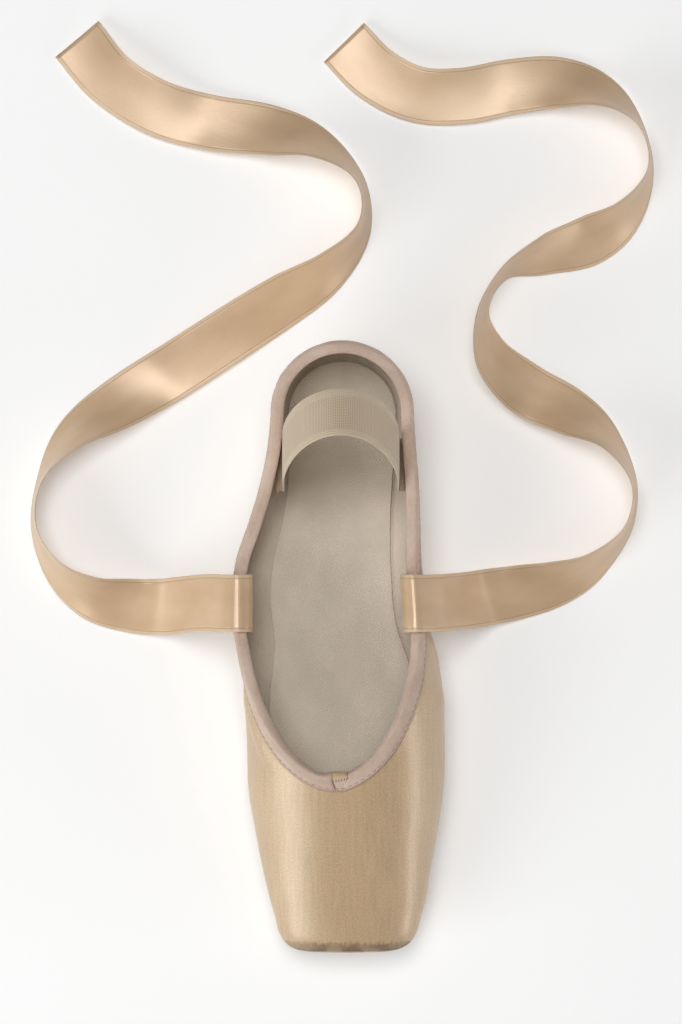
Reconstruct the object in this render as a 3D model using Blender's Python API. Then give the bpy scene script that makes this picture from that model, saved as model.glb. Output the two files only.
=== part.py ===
"""An empty pointe shoe standing on its flat sole, toe towards -Y, heel towards +Y, up +Z, in metres."""

import math

import bmesh
import bpy
import numpy as np
from mathutils import Vector
from mathutils.bvhtree import BVHTree

# Sizes of the shoe. Every table below holds shares of these.
LENGTH = 0.235
BALL_HALF = 0.0385
BOX_HEIGHT = 0.050
ARCH_RISE = 0.0045
SOLE_THICK = 0.003
INSOLE_THICK = 0.0015
WALL = 0.002
FIT = 0.0003

# The throat is a deep U cut from its foremost point, THROAT, back over U_DEPTH. It leaves THROAT_SIDE of
# satin beside it, and the collar's edge stays COLLAR_INSET inside the widest line.
THROAT = 0.0685
U_DEPTH = 0.063
THROAT_SIDE = 0.0038
U_HALF = BALL_HALF - THROAT_SIDE
U_POINTING = 1.1
COLLAR_INSET = 0.0007

HEEL_RADIUS = 0.027
SOLE_LAP = 0.006
BINDING_WIDTH = 0.006
BINDING_THICK = 0.0008
CASING_FIT = 0.0004
SLIT = 0.0004
TAB_RISE = 0.0012

# The elastic and the ribbons are sewn inside the upper over SEWN_DEPTH, at these shares of LENGTH
SEWN_DEPTH = 0.016
ELASTIC_SHARE = 0.80
RIBBON_SHARE = 0.575
ELASTIC_WIDTH = 0.020
ELASTIC_THICK = 0.0008
ELASTIC_RISE = 0.034
ELASTIC_LEAN = 0.019
RIBBON_WIDTH = 0.022
RIBBON_THICK = 0.0005
SEAM_SLACK = 0.0012

# The worn collar leans to its lateral side, so the box stands this far beside the middle of the whole shoe
BOX_MIDDLE = 0.0032

TOE = -LENGTH / 2
HEEL_Y = LENGTH / 2 - HEEL_RADIUS
HEEL_SHARE = 1 - HEEL_RADIUS / LENGTH
U_END = (THROAT + U_DEPTH) / LENGTH

# The last, toe to heel. station: share of LENGTH. lateral, medial and drift (towards +X): shares of
# BALL_HALF. level (of the widest line) and crown: shares of BOX_HEIGHT. Behind the throat the crown is where
# the section would close over the instep. lift: share of ARCH_RISE under the shoe, low and high: squareness.
LAST = (
    # station, lateral, medial, drift, level, crown, lift, low, high
    (0.000, 0.440, 0.440, 0.000, 0.34, 0.480, 1.50, 2.4, 2.3),
    (0.0026, 0.510, 0.512, 0.000, 0.34, 0.512, 1.12, 2.5, 2.3),
    (0.0085, 0.587, 0.592, 0.000, 0.335, 0.548, 0.82, 2.7, 2.35),
    (0.0183, 0.645, 0.662, 0.000, 0.33, 0.578, 0.56, 2.9, 2.4),
    (0.034, 0.694, 0.712, 0.000, 0.33, 0.610, 0.36, 3.2, 2.4),
    (0.055, 0.724, 0.745, 0.000, 0.32, 0.642, 0.22, 3.5, 2.45),
    (0.085, 0.777, 0.795, 0.000, 0.31, 0.685, 0.08, 3.9, 2.45),
    (0.125, 0.834, 0.834, 0.000, 0.30, 0.745, 0.00, 4.3, 2.45),
    (0.166, 0.886, 0.878, 0.000, 0.30, 0.810, 0.00, 4.5, 2.4),
    (0.2085, 0.935, 0.925, 0.000, 0.30, 0.880, 0.00, 4.5, 2.35),
    (0.250, 0.980, 0.960, 0.000, 0.30, 0.945, 0.00, 4.5, 2.3),
    (0.290, 1.000, 0.985, 0.000, 0.30, 1.000, 0.00, 4.5, 2.25),
    (0.350, 1.000, 0.995, -0.010, 0.31, 1.085, 0.00, 4.4, 2.2),
    (0.413, 1.000, 1.000, -0.026, 0.33, 1.200, 0.12, 4.1, 2.2),
    (0.480, 0.990, 0.971, -0.057, 0.35, 1.350, 0.48, 3.5, 2.1),
    (0.545, 1.020, 0.927, -0.104, 0.37, 1.480, 0.86, 3.0, 2.1),
    (0.580, 1.025, 0.910, -0.122, 0.38, 1.530, 1.00, 2.85, 2.1),
    (0.640, 0.985, 0.870, -0.117, 0.39, 1.520, 0.97, 2.7, 2.1),
    (0.700, 0.890, 0.830, -0.094, 0.40, 1.500, 0.66, 2.7, 2.1),
    (0.766, 0.795, 0.780, -0.068, 0.40, 1.540, 0.24, 2.8, 2.1),
    (0.830, 0.735, 0.735, -0.052, 0.40, 1.670, 0.02, 3.0, 2.1),
    (0.885, 0.714, 0.714, -0.047, 0.40, 1.830, 0.00, 3.3, 2.1),
    (1.000, 0.701, 0.701, -0.047, 0.44, 2.000, 0.00, 3.4, 2.1),
)
STATION, LATERAL, MEDIAL, DRIFT, LEVEL, CROWN, LIFT, LOW, HIGH = range(9)

# Where the middle of the throat lies beside the middle of its section, towards +X, in BALL_HALF
THROAT_SHIFT = (
    # station, shift
    (0.000, 0.000),
    (0.085, 0.000),
    (0.190, -0.085),
    (0.290, -0.143),
    (0.400, -0.138),
    (0.480, -0.112),
    (0.560, -0.088),
    (1.000, -0.088),
)

# Height of the upper's edge along the collar, in BOX_HEIGHT. It takes over from the crown through
# COLLAR_BLEND.
COLLAR_BLEND = (0.300, 0.480)
COLLAR_HEIGHT = (
    # station, height
    (0.350, 0.990),
    (0.413, 0.955),
    (0.480, 0.890),
    (0.545, 0.825),
    (0.580, 0.800),
    (0.640, 0.775),
    (0.700, 0.775),
    (0.766, 0.810),
    (0.830, 0.890),
    (0.885, 0.970),
    (1.000, 1.050),
)

# The collar's edge behind the throat, as shares of each side's half width. From the throat's end it comes to
# these shares by COLLAR_EVEN.
COLLAR_EVEN = 0.766
COLLAR = (
    # station, lateral, medial
    (0.559, 0.962, 0.884),
    (0.640, 0.952, 0.900),
    (0.700, 0.945, 0.920),
    (0.766, 0.942, 0.935),
    (0.830, 0.930, 0.930),
    (0.885, 0.920, 0.920),
    (1.000, 0.930, 0.930),
)

# Half widths: the outsole as a share of BALL_HALF, the insole as a share of its section's half width
SOLE_HALF = (
    # station, outsole
    (0.055, 0.300),
    (0.066, 0.440),
    (0.085, 0.570),
    (0.125, 0.660),
    (0.200, 0.725),
    (0.290, 0.750),
    (0.370, 0.705),
    (0.460, 0.570),
    (0.545, 0.410),
    (0.620, 0.320),
    (0.700, 0.305),
    (0.766, 0.345),
    (0.830, 0.400),
    (0.885, 0.440),
    (1.000, 0.440),
)
INSOLE_SHARE = (
    # station, insole
    (0.055, 0.40),
    (0.085, 0.66),
    (0.125, 0.76),
    (0.290, 0.80),
    (0.413, 0.76),
    (0.545, 0.64),
    (0.700, 0.64),
    (0.830, 0.72),
    (0.885, 0.76),
    (1.000, 0.76),
)

# Toe to throat the upper is closed on top, and up to CLOSED_UNDER it is closed underneath too, by its pleats
CLOSED_UNDER = 0.085
LIP_OPENS_OVER = 0.08
LEAST_LIP = 0.004
BOX_STATIONS = (0.0, 0.0026, 0.0085, 0.0183, 0.034, 0.055, CLOSED_UNDER, 0.125, 0.166, 0.2085, 0.25)
U_TURNS = (0, 9, 17, 25, 33, 41, 49, 57, 65, 73, 81, 90)
SIDE_STATIONS = 8
HEEL_TURNS = 7
LOW_STEPS = 7
HIGH_STEPS = 8

# The ribbons' way from the collar. out (from the shoe) and along (towards the heel): in RIBBON_WIDTH, from
# where the ribbon crosses the edge. height: above its rest on the floor, as a share of the edge's height.
# tilt: degrees that the ribbon leans over from lying flat.
MEDIAL_ROUTE = (
    # out, along, height, tilt
    (0.30, 0.00, 0.860, 0),
    (0.55, 0.01, 0.600, 0),
    (0.85, 0.03, 0.330, 0),
    (1.20, 0.08, 0.120, 6),
    (1.70, 0.16, 0.020, 16),
    (2.35, 0.32, 0.000, 34),
    (3.05, 0.66, 0.000, 60),
    (3.62, 1.30, 0.000, 78),
    (3.72, 2.10, 0.000, 80),
    (3.30, 2.85, 0.000, 62),
    (2.60, 3.35, 0.010, 28),
    (1.85, 3.75, 0.010, 18),
    (1.22, 4.34, 0.000, 46),
    (1.05, 5.12, 0.000, 76),
    (1.45, 5.82, 0.000, 78),
    (2.20, 6.16, 0.000, 48),
    (3.00, 6.42, 0.000, 30),
    (3.66, 6.92, 0.000, 58),
    (4.02, 7.64, 0.000, 80),
    (3.84, 8.42, 0.000, 78),
    (3.22, 8.98, 0.000, 50),
    (2.42, 9.20, 0.010, 18),
    (1.58, 9.14, 0.035, 4),
    (0.74, 8.98, 0.035, -6),
    (-0.08, 9.00, 0.010, -12),
    (-0.82, 9.36, 0.000, -8),
    (-1.40, 9.94, 0.000, 0),
)
LATERAL_ROUTE = (
    # out, along, height, tilt
    (0.30, 0.00, 0.860, 0),
    (0.55, -0.02, 0.600, 0),
    (0.85, -0.06, 0.330, 0),
    (1.20, -0.10, 0.120, -5),
    (1.75, -0.08, 0.020, -16),
    (2.45, 0.08, 0.000, -38),
    (3.08, 0.55, 0.000, -64),
    (3.44, 1.32, 0.000, -80),
    (3.32, 2.20, 0.000, -78),
    (2.74, 2.98, 0.000, -50),
    (1.88, 3.55, 0.020, -18),
    (0.95, 4.12, 0.050, 4),
    (0.02, 4.72, 0.050, 12),
    (-0.92, 5.32, 0.020, 24),
    (-1.78, 5.88, 0.000, 50),
    (-2.38, 6.62, 0.000, 76),
    (-2.30, 7.46, 0.000, 78),
    (-1.62, 8.06, 0.000, 54),
    (-0.68, 8.36, 0.000, 20),
    (0.32, 8.50, 0.030, 4),
    (1.28, 8.76, 0.040, -8),
    (2.12, 9.28, 0.010, -14),
    (2.72, 10.00, 0.000, -4),
)
ROUTE_STEP = 0.0055


def cleared_scene():
    for old in list(bpy.data.objects):
        bpy.data.objects.remove(old)


def smooth(rows, column, share):
    """A column of a table at any station, with no overshoot between its rows."""
    x = np.array([row[0] for row in rows])
    y = np.array([row[column] for row in rows])
    share = min(max(share, x[0]), x[-1])
    k = min(int(np.searchsorted(x, share, side="right")) - 1, len(x) - 2)
    rises = np.diff(y) / np.diff(x)

    def slope(i):
        if i in (0, len(x) - 1):
            return rises[min(i, len(rises) - 1)]
        before, after = rises[i - 1], rises[i]
        return 0.0 if before * after <= 0 else 2 * before * after / (before + after)

    width = x[k + 1] - x[k]
    t = (share - x[k]) / width
    start, end = slope(k) * width, slope(k + 1) * width
    return float(
        y[k] * (2 * t**3 - 3 * t**2 + 1)
        + start * (t**3 - 2 * t**2 + t)
        + y[k + 1] * (3 * t**2 - 2 * t**3)
        + end * (t**3 - t**2)
    )


class Section:
    """One section of the last: its sizes in metres, and where a point of it lies in the world."""

    def __init__(self, share):
        self.share = share
        self.halves = {
            -1: BALL_HALF * smooth(LAST, LATERAL, share),
            1: BALL_HALF * smooth(LAST, MEDIAL, share),
        }
        self.drift = BALL_HALF * smooth(LAST, DRIFT, share)
        self.level = BOX_HEIGHT * smooth(LAST, LEVEL, share)
        self.lift = ARCH_RISE * smooth(LAST, LIFT, share)
        self.under = self.lift + SOLE_THICK + FIT
        self.low = smooth(LAST, LOW, share)
        self.high = smooth(LAST, HIGH, share)
        self.fan = max(0.0, (share - HEEL_SHARE) / (1 - HEEL_SHARE)) * math.pi / 2
        if share > HEEL_SHARE:
            for side in (-1, 1):
                across = BALL_HALF * smooth(LAST, MEDIAL, HEEL_SHARE)
                self.halves[side] = 1 / math.hypot(
                    math.cos(self.fan) / across, math.sin(self.fan) / HEEL_RADIUS
                )
        closed = BOX_HEIGHT * smooth(LAST, CROWN, share)
        self.crowns = {side: closed for side in (-1, 1)}
        if share > THROAT / LENGTH + 1e-9:
            height = BOX_HEIGHT * smooth(COLLAR_HEIGHT, 1, share)
            t = min(1.0, max(0.0, (share - COLLAR_BLEND[0]) / (COLLAR_BLEND[1] - COLLAR_BLEND[0])))
            for side in (-1, 1):
                edge = self.edge(side)
                part = abs(edge) / self.halves[side if edge >= 0 else -side]
                share_up = (1 - part**self.high) ** (1 / self.high)
                wanted = self.level + (height - self.level) / share_up
                self.crowns[side] = closed + (wanted - closed) * t * t * (3 - 2 * t)

    def world(self, side, out, height):
        """out: from the section's middle, or in the heel from the heel's middle."""
        if self.fan:
            x = BOX_MIDDLE + self.drift + side * out * math.cos(self.fan)
            return Vector((x, HEEL_Y + out * math.sin(self.fan), height))
        x = BOX_MIDDLE + self.drift + side * out
        return Vector((x, TOE + self.share * LENGTH, height))

    def wall_at(self, side, height):
        """How far out the upper's outside is at a height above its widest line."""
        part = (height - self.level) / (self.crowns[side] - self.level)
        part = min(1.0, max(0.0, part))
        return self.halves[side] * (1 - part**self.high) ** (1 / self.high)

    def under_at(self, side, out):
        """Height of the upper's outside below its widest line."""
        part = min(1.0, abs(out) / self.halves[side])
        return self.level - (self.level - self.under) * (1 - part**self.low) ** (1 / self.low)

    def edge(self, side):
        """How far out the upper ends at the top: at its middle seam, or at the collar's edge."""
        shift = side * BALL_HALF * smooth(THROAT_SHIFT, 1, self.share)
        if self.share <= THROAT / LENGTH + 1e-9:
            return shift
        widest = self.halves[side] - COLLAR_INSET
        if self.share <= U_END + 1e-9:
            turn = math.acos(max(-1.0, 1 - (self.share * LENGTH - THROAT) / U_DEPTH))
            return min(widest, shift + U_HALF * math.sin(turn) ** U_POINTING)
        start = U_HALF + side * BALL_HALF * smooth(THROAT_SHIFT, 1, U_END)
        column = 2 if side > 0 else 1
        first = BALL_HALF * smooth(LAST, MEDIAL if side > 0 else LATERAL, U_END)
        blend = max(0.0, 1 - (self.share - U_END) / (COLLAR_EVEN - U_END))
        drawn = self.halves[side] * smooth(COLLAR, column, self.share)
        return min(widest, drawn + blend * (start - first * COLLAR[0][column]))

    def lip(self, side):
        """How far in the upper is turned under the foot; 0 where it is closed underneath."""
        if self.share < CLOSED_UNDER + 1e-6:
            return 0.0
        opening = min(1.0, (self.share - CLOSED_UNDER) / LIP_OPENS_OVER)
        sole = BALL_HALF * smooth(SOLE_HALF, 1, self.share)
        return max(LEAST_LIP, sole - SOLE_LAP) * math.sqrt(opening)

    def turns(self, side):
        """The upper's section from the lip, round the widest line, up to its top edge, as angles."""
        low_turn = math.acos(min(1.0, self.lip(side) / self.halves[side]) ** (self.low / 2))
        edge = self.edge(side)
        reach = self.halves[side if edge >= 0 else -side]
        high_turn = math.acos(math.copysign((abs(edge) / reach) ** (self.high / 2), edge))
        below = [-low_turn * k / LOW_STEPS for k in range(LOW_STEPS, 0, -1)]
        return below + [high_turn * k / HIGH_STEPS for k in range(HIGH_STEPS + 1)]

    def at(self, side, turn):
        """A point of the outside, as out and height: below the widest line where turn is negative."""
        square, top = (self.low, self.under) if turn < 0 else (self.high, self.crowns[side])
        part = math.copysign(abs(math.cos(turn)) ** (2 / square), math.cos(turn))
        rise = math.sin(abs(turn)) ** (2 / square)
        half = self.halves[side if part >= 0 else -side]
        return part * half, self.level + (top - self.level) * rise

    def profile(self, side):
        return [self.at(side, turn) for turn in self.turns(side)]

    def normals(self, side):
        """The outside's normals at the points of profile."""
        step = 0.0005
        fore, aft = Section(max(0.0, self.share - step)), Section(min(1.0, self.share + step))
        found = []
        for turn in self.turns(side):
            fore_end, aft_end = (s.world(side, *s.at(side, turn)) for s in (fore, aft))
            if aft.share == 1.0 and self.share == 1.0:
                mirrored = self.world(-side, *fore.at(side, turn))
                aft_end = fore_end.copy()
                aft_end.x = 2 * mirrored.x - aft_end.x
            near, far = turn - 0.01, turn + 0.01
            if turn < 0:
                far, near = max(turn + 0.01, turn * 0.5), max(turn - 0.01, -math.pi / 2)
            elif turn < 0.01:
                near = turn
            up = self.world(side, *self.at(side, far)) - self.world(side, *self.at(side, near))
            found.append((aft_end - fore_end).cross(up).normalized() * side)
        return found


def upper_stations():
    u_shares = [(THROAT + U_DEPTH * (1 - math.cos(math.radians(t)))) / LENGTH for t in U_TURNS]
    step = (HEEL_SHARE - U_END) / SIDE_STATIONS
    sides = [U_END + step * k for k in range(1, SIDE_STATIONS + 1)]
    heel = [HEEL_SHARE + (1 - HEEL_SHARE) * k / HEEL_TURNS for k in range(1, HEEL_TURNS + 1)]
    return list(BOX_STATIONS) + u_shares + sides + heel


def welded(points, faces, within, carried):
    """Points of the two sides that meet made one, with the sum of what each carries."""
    kept, places, index, sums = [], {}, [], []
    for point, load in zip(points, carried):
        key = tuple(round(value / within) for value in point)
        if key not in places:
            places[key] = len(kept)
            kept.append(Vector(point))
            sums.append(Vector((0, 0, 0)))
        sums[places[key]] += load
        index.append(places[key])
    whole = []
    for face in faces:
        ring = []
        for k in face:
            if index[k] not in ring:
                ring.append(index[k])
        if len(ring) > 2:
            whole.append(ring)
    return kept, whole, sums


def grid_faces(rows, columns, first=0, flipped=False):
    faces = []
    for i in range(rows - 1):
        for j in range(columns - 1):
            a = first + i * columns + j
            face = (a, a + columns, a + columns + 1, a + 1)
            faces.append(face[::-1] if flipped else face)
    return faces


def in_triangles(points, faces):
    """Faces of four split along the shorter diagonal, so that both sides of a wall are split alike."""
    split = []
    for face in faces:
        if len(face) < 4:
            split.append(face)
            continue
        a, b, c, d = face
        if (points[a] - points[c]).length <= (points[b] - points[d]).length:
            split += [[a, b, c], [a, c, d]]
        else:
            split += [[a, b, d], [b, c, d]]
    return split


def point_normals(points, faces):
    mesh = bpy.data.meshes.new("normals")
    mesh.from_pydata(points, [], faces)
    normals = [vertex.normal.copy() for vertex in mesh.vertices]
    bpy.data.meshes.remove(mesh)
    return normals


def material(name, colour, rough):
    made = bpy.data.materials.new(name)
    made.use_nodes = True
    shader = made.node_tree.nodes["Principled BSDF"]
    shader.inputs["Base Color"].default_value = (*colour, 1)
    shader.inputs["Roughness"].default_value = rough
    return made


def finished(name, points, faces, paint):
    mesh = bpy.data.meshes.new(name)
    mesh.from_pydata([tuple(point) for point in points], [], faces)
    mesh.materials.append(paint)
    mesh.polygons.foreach_set("use_smooth", [True] * len(mesh.polygons))
    built = bmesh.new()
    built.from_mesh(mesh)
    bmesh.ops.triangulate(built, faces=built.faces)
    bmesh.ops.recalc_face_normals(built, faces=built.faces)
    built.to_mesh(mesh)
    built.free()
    made = bpy.data.objects.new(name, mesh)
    bpy.context.collection.objects.link(made)
    return made


def thick(name, points, faces, partners, paint):
    """A solid between a sheet of faces and the partner of each of its points."""
    count = len(points)
    once = {}
    for face in faces:
        for a, b in zip(face, face[1:] + face[:1]):
            once[(a, b)] = (b, a) not in once
            if (b, a) in once:
                once[(b, a)] = False
    rim = [edge for edge, open_edge in once.items() if open_edge]
    walls = [(b, a, a + count, b + count) for a, b in rim]
    backs = [[k + count for k in reversed(face)] for face in faces]
    return finished(name, list(points) + list(partners), faces + backs + walls, paint)


def swept(name, rings, paint):
    """A closed outline carried along, capped at both ends."""
    count = len(rings[0])
    points = [point for ring in rings for point in ring]
    faces = []
    for i in range(len(rings) - 1):
        for j in range(count):
            a, b = i * count + j, i * count + (j + 1) % count
            faces.append((a, b, b + count, a + count))
    half = count // 2
    for first in (0, (len(rings) - 1) * count):
        for j in range(half - 1):
            faces.append((first + j, first + j + 1, first + count - 2 - j, first + count - 1 - j))
    return finished(name, points, faces, paint)


def upper_sheet():
    """The upper's outside as points and faces, with the platform closed."""
    sections = [Section(share) for share in upper_stations()]
    points, faces, normals = [], [], []
    for side in (1, -1):
        toe = sections[0]
        outline = [toe.world(side, out, height) for out, height in toe.profile(side)]
        middle = toe.world(side, 0.0, toe.level)
        rows = [[middle.lerp(point, share) for point in outline] for share in (0.0, 0.5)]
        normals += [Vector((0, -1, 0))] * (2 * len(outline))
        for section in sections:
            rows.append([section.world(side, out, height) for out, height in section.profile(side)])
            normals += section.normals(side)
        faces += grid_faces(len(rows), len(rows[0]), len(points), flipped=side < 0)
        points += [point for row in rows for point in row]
    kept, whole, facing = welded(points, faces, 2e-5, normals)
    return kept, in_triangles(kept, whole), facing


def plate(name, stations, half, bottom, top, paint):
    """A sole or an insole: half, bottom and top are its sizes at a section, side and place across."""
    points, lower, faces = [], [], []
    across = (0.0, 0.3, 0.6, 0.85, 1.0)
    for side in (1, -1):
        first = len(points)
        for share in stations:
            section = Section(share)
            for part in across:
                out = part * half(section, side)
                points.append(section.world(side, out, top(section, side, out)))
                lower.append(section.world(side, out, bottom(section, side, out)))
        faces += grid_faces(len(stations), len(across), first, flipped=side > 0)
    drops = [low - high for low, high in zip(lower, points)]
    kept, whole, sums = welded(points, faces, 1e-5, drops)
    partners = [point + total.normalized() * drops[0].length for point, total in zip(kept, sums)]
    return thick(name, kept, whole, partners, paint)


def collar_ends(side):
    """The upper's edge along one side of the collar, from the throat to the back of the heel."""
    shares = [share for share in upper_stations() if share > THROAT / LENGTH - 1e-6]
    sections = [Section(share) for share in shares]
    return [(s.world(side, *s.profile(side)[-1]), s.normals(side)[-1]) for s in sections]


def casing_ring(edge, rim, up, normal, outer, inner, rise=0.0):
    """The binding's outline where it folds over the upper's edge, from its outside round to its inside."""
    near, far = CASING_FIT, CASING_FIT + BINDING_THICK
    ring = []

    def flap(surface, start, depth, off):
        place, facing, _, _ = surface.find_nearest(start - up * depth)
        return place + facing * off

    for depth in (BINDING_WIDTH, BINDING_WIDTH * 0.5):
        ring.append(flap(outer, edge, depth, far))
    ring.append(edge + normal * far)
    ring.append(edge + normal * far * 0.6 + up * (far * 0.8 + rise * 0.6))
    ring.append((edge + rim) / 2 + up * (far + rise))
    ring.append(rim - normal * far * 0.6 + up * (far * 0.8 + rise * 0.6))
    ring.append(rim - normal * far)
    for depth in (BINDING_WIDTH * 0.5, BINDING_WIDTH):
        ring.append(flap(inner, rim, depth, far))
    for depth in (BINDING_WIDTH, BINDING_WIDTH * 0.5):
        ring.append(flap(inner, rim, depth, near))
    ring.append(rim - normal * near)
    ring.append(rim - normal * near * 0.7 + up * near * 0.8)
    ring.append((edge + rim) / 2 + up * near)
    ring.append(edge + normal * near * 0.7 + up * near * 0.8)
    ring.append(edge + normal * near)
    for depth in (BINDING_WIDTH * 0.5, BINDING_WIDTH):
        ring.append(flap(outer, edge, depth, near))
    return ring


def along_line(places, step):
    """Points about step apart on a smooth line through places, with the other columns carried along."""
    rows = np.array(places, float)
    rows = np.vstack([2 * rows[0] - rows[1], rows, 2 * rows[-1] - rows[-2]])
    fine = []
    for k in range(1, len(rows) - 2):
        a, b, c, d = rows[k - 1 : k + 3]
        for t in np.arange(0, 1, 0.05):
            curve = 2 * b + (c - a) * t + (2 * a - 5 * b + 4 * c - d) * t**2
            fine.append(0.5 * (curve + (3 * b - a - 3 * c + d) * t**3))
    fine.append(rows[-2])
    fine = np.array(fine)
    walked = np.append(0, np.cumsum(np.linalg.norm(np.diff(fine[:, :3], axis=0), axis=1)))
    count = max(2, round(walked[-1] / step)) + 1
    places = np.linspace(0, walked[-1], count)
    return np.column_stack([np.interp(places, walked, column) for column in fine.T])


def strip(name, middles, acrosses, width, thickness, paint):
    """A band of cloth along middles, each with the direction across it."""
    points = []
    for middle, across in zip(middles, acrosses):
        points += [middle + across * width * part for part in (-0.5, 0.0, 0.5)]
    faces = in_triangles(points, grid_faces(len(middles), 3))
    normals = point_normals(points, faces)
    front = [point + normal * thickness / 2 for point, normal in zip(points, normals)]
    back = [point - normal * thickness / 2 for point, normal in zip(points, normals)]
    return thick(name, front, faces, back, paint)


def ribbon(name, side, route, paint):
    """A ribbon sewn inside the collar, over its edge and down to the floor."""
    section = Section(RIBBON_SHARE)
    edge_out, edge_height = section.profile(side)[-1]
    edge = section.world(side, edge_out, edge_height)
    aside = RIBBON_WIDTH / 2 / LENGTH
    ends = [Section(RIBBON_SHARE + k * aside) for k in (-1, 1)]
    fore, aft = [s.world(side, *s.profile(side)[-1]) for s in ends]
    edge_way = (aft - fore).normalized()
    chord = (fore + aft) / 2
    bowed = abs(chord.x - edge.x)
    clear = 2 * FIT + BINDING_THICK + RIBBON_THICK + SEAM_SLACK
    places = []
    for down in (SEWN_DEPTH, SEWN_DEPTH / 2, 0.0):
        height = edge_height - down
        out = min(section.wall_at(side, height), edge_out + down * 0.1)
        place = section.world(side, out - WALL - clear, height)
        places.append((place.x - side * bowed, place.y, place.z, 0.0, 1.0))
    top = max(edge.z, chord.z)
    places.append((edge.x - side * WALL * 0.5, edge.y, top + clear + 0.0004, 0.0, 1.0))
    places.append((edge.x + side * (clear * 1.2 + bowed), edge.y, top + clear * 0.1, 0.0, 1.0))
    for out, along, height, tilt in route:
        x = edge.x + side * (clear + out * RIBBON_WIDTH)
        y = edge.y + along * RIBBON_WIDTH
        held = max(0.0, min(1.0, (height - 0.1) / 0.3))
        places.append((x, y, height * edge.z, math.radians(tilt), held))
    line = along_line(places, ROUTE_STEP)
    rests = RIBBON_WIDTH / 2 * np.abs(np.sin(line[:, 3])) + RIBBON_THICK / 2 + FIT
    first = int(np.argmax(line[:, 4] < 0.95))
    rests[:first] *= np.linspace(0, 1, first) ** 4
    middles = [
        Vector((row[0], row[1], max(0.0, row[2]) + rest)) for row, rest in zip(line, rests)
    ]
    acrosses = []
    for k, row in enumerate(line):
        way = (middles[min(k + 1, len(line) - 1)] - middles[max(k - 1, 0)]).normalized()
        flat = Vector((0, 0, 1)).cross(way)
        if flat.length < 0.2:
            flat = edge_way * side
        flat = flat.normalized().lerp(edge_way * side, row[4])
        flat = (flat - way * flat.dot(way)).normalized()
        acrosses.append(flat * math.cos(row[3]) + way.cross(flat) * math.sin(row[3]))
    return strip(name, middles, acrosses, RIBBON_WIDTH, RIBBON_THICK, paint)


def elastic(paint):
    """A band standing in an arch between the two sides of the heel."""
    section = Section(ELASTIC_SHARE)
    clear = 2 * FIT + BINDING_THICK + ELASTIC_THICK + SEAM_SLACK
    ends = {}
    for side in (-1, 1):
        out, height = section.profile(side)[-1]
        ends[side] = section.world(side, out - WALL - clear, height)
    places = []
    for down in (SEWN_DEPTH, SEWN_DEPTH / 2, 0.0):
        places.append((*(ends[-1] - Vector((0, 0, down))), 0.0))
    middle = (ends[-1] + ends[1]) / 2
    reach = (ends[1].x - ends[-1].x) / 2
    for degrees in range(165, 0, -15):
        turn = math.radians(degrees)
        lean = ELASTIC_LEAN * math.sin(turn) ** 1.2
        rise = 0.003 + ELASTIC_RISE * math.sin(turn) ** 0.9
        x = middle.x + reach * math.cos(turn) * (1 + 0.10 * math.sin(turn))
        places.append((x, middle.y + lean, middle.z + rise, math.sin(turn)))
    for down in (0.0, SEWN_DEPTH / 2, SEWN_DEPTH):
        places.append((*(ends[1] - Vector((0, 0, down))), 0.0))
    line = along_line(places, ROUTE_STEP)
    tipped = math.atan2(ELASTIC_LEAN, ELASTIC_RISE)
    middles, acrosses = [], []
    for row in line:
        lean = tipped * row[3]
        middles.append(Vector(row[:3]))
        acrosses.append(Vector((0, math.cos(lean), -math.sin(lean))))
    return strip("elastic", middles, acrosses, ELASTIC_WIDTH, ELASTIC_THICK, paint)


cleared_scene()
satin = material("satin", (0.60, 0.43, 0.27), 0.35)
leather = material("leather", (0.42, 0.33, 0.25), 0.6)
canvas = material("canvas", (0.70, 0.62, 0.52), 0.8)
casing = material("casing", (0.55, 0.45, 0.37), 0.6)
mesh_band = material("mesh_band", (0.55, 0.45, 0.33), 0.6)
ribbon_satin = material("ribbon_satin", (0.62, 0.44, 0.28), 0.35)

# Upper: the outside follows the last, the inside lies one wall in from it
sheet, sheet_faces, sheet_normals = upper_sheet()
lining = [point - normal.normalized() * WALL for point, normal in zip(sheet, sheet_normals)]
thick("upper", sheet, sheet_faces, lining, satin)
outer_surface = BVHTree.FromPolygons(sheet, sheet_faces)
inner_surface = BVHTree.FromPolygons(lining, [face[::-1] for face in sheet_faces])

# Outsole and insole
SOLE_STATIONS = [0.055, 0.058, 0.066, 0.085, 0.125, 0.166, 0.2085, 0.25, 0.29, 0.33, 0.37, 0.413, 0.46]
SOLE_STATIONS += [0.5, 0.545, 0.59, 0.64, 0.69, 0.735, 0.78, 0.83]
SOLE_STATIONS += [HEEL_SHARE + (1 - HEEL_SHARE) * k / HEEL_TURNS for k in range(HEEL_TURNS + 1)]
plate(
    "outsole",
    SOLE_STATIONS,
    lambda section, side: BALL_HALF * smooth(SOLE_HALF, 1, section.share),
    lambda section, side, out: section.lift,
    lambda section, side, out: section.lift + SOLE_THICK,
    leather,
)


def insole_under(section, side, out):
    return section.under_at(side, out * 1.05) + WALL + FIT


plate(
    "insole",
    SOLE_STATIONS[2:],
    lambda section, side: section.halves[side] * smooth(INSOLE_SHARE, 1, section.share),
    insole_under,
    lambda section, side, out: insole_under(section, side, out) + INSOLE_THICK,
    canvas,
)

# Binding: a cap over the collar's edge, from the tab on its medial side round to the slit
medial, lateral = collar_ends(1), collar_ends(-1)
loop = medial + lateral[-2::-1]
rings = []
for k, (point, normal) in enumerate(loop):
    before = loop[k - 1][0] if k else loop[-2][0]
    after = loop[k + 1][0] if k < len(loop) - 1 else loop[1][0]
    way = (after - before).normalized()
    up = normal.cross(way).normalized()
    rings.append((point, point - normal * WALL, up, normal, way))


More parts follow.
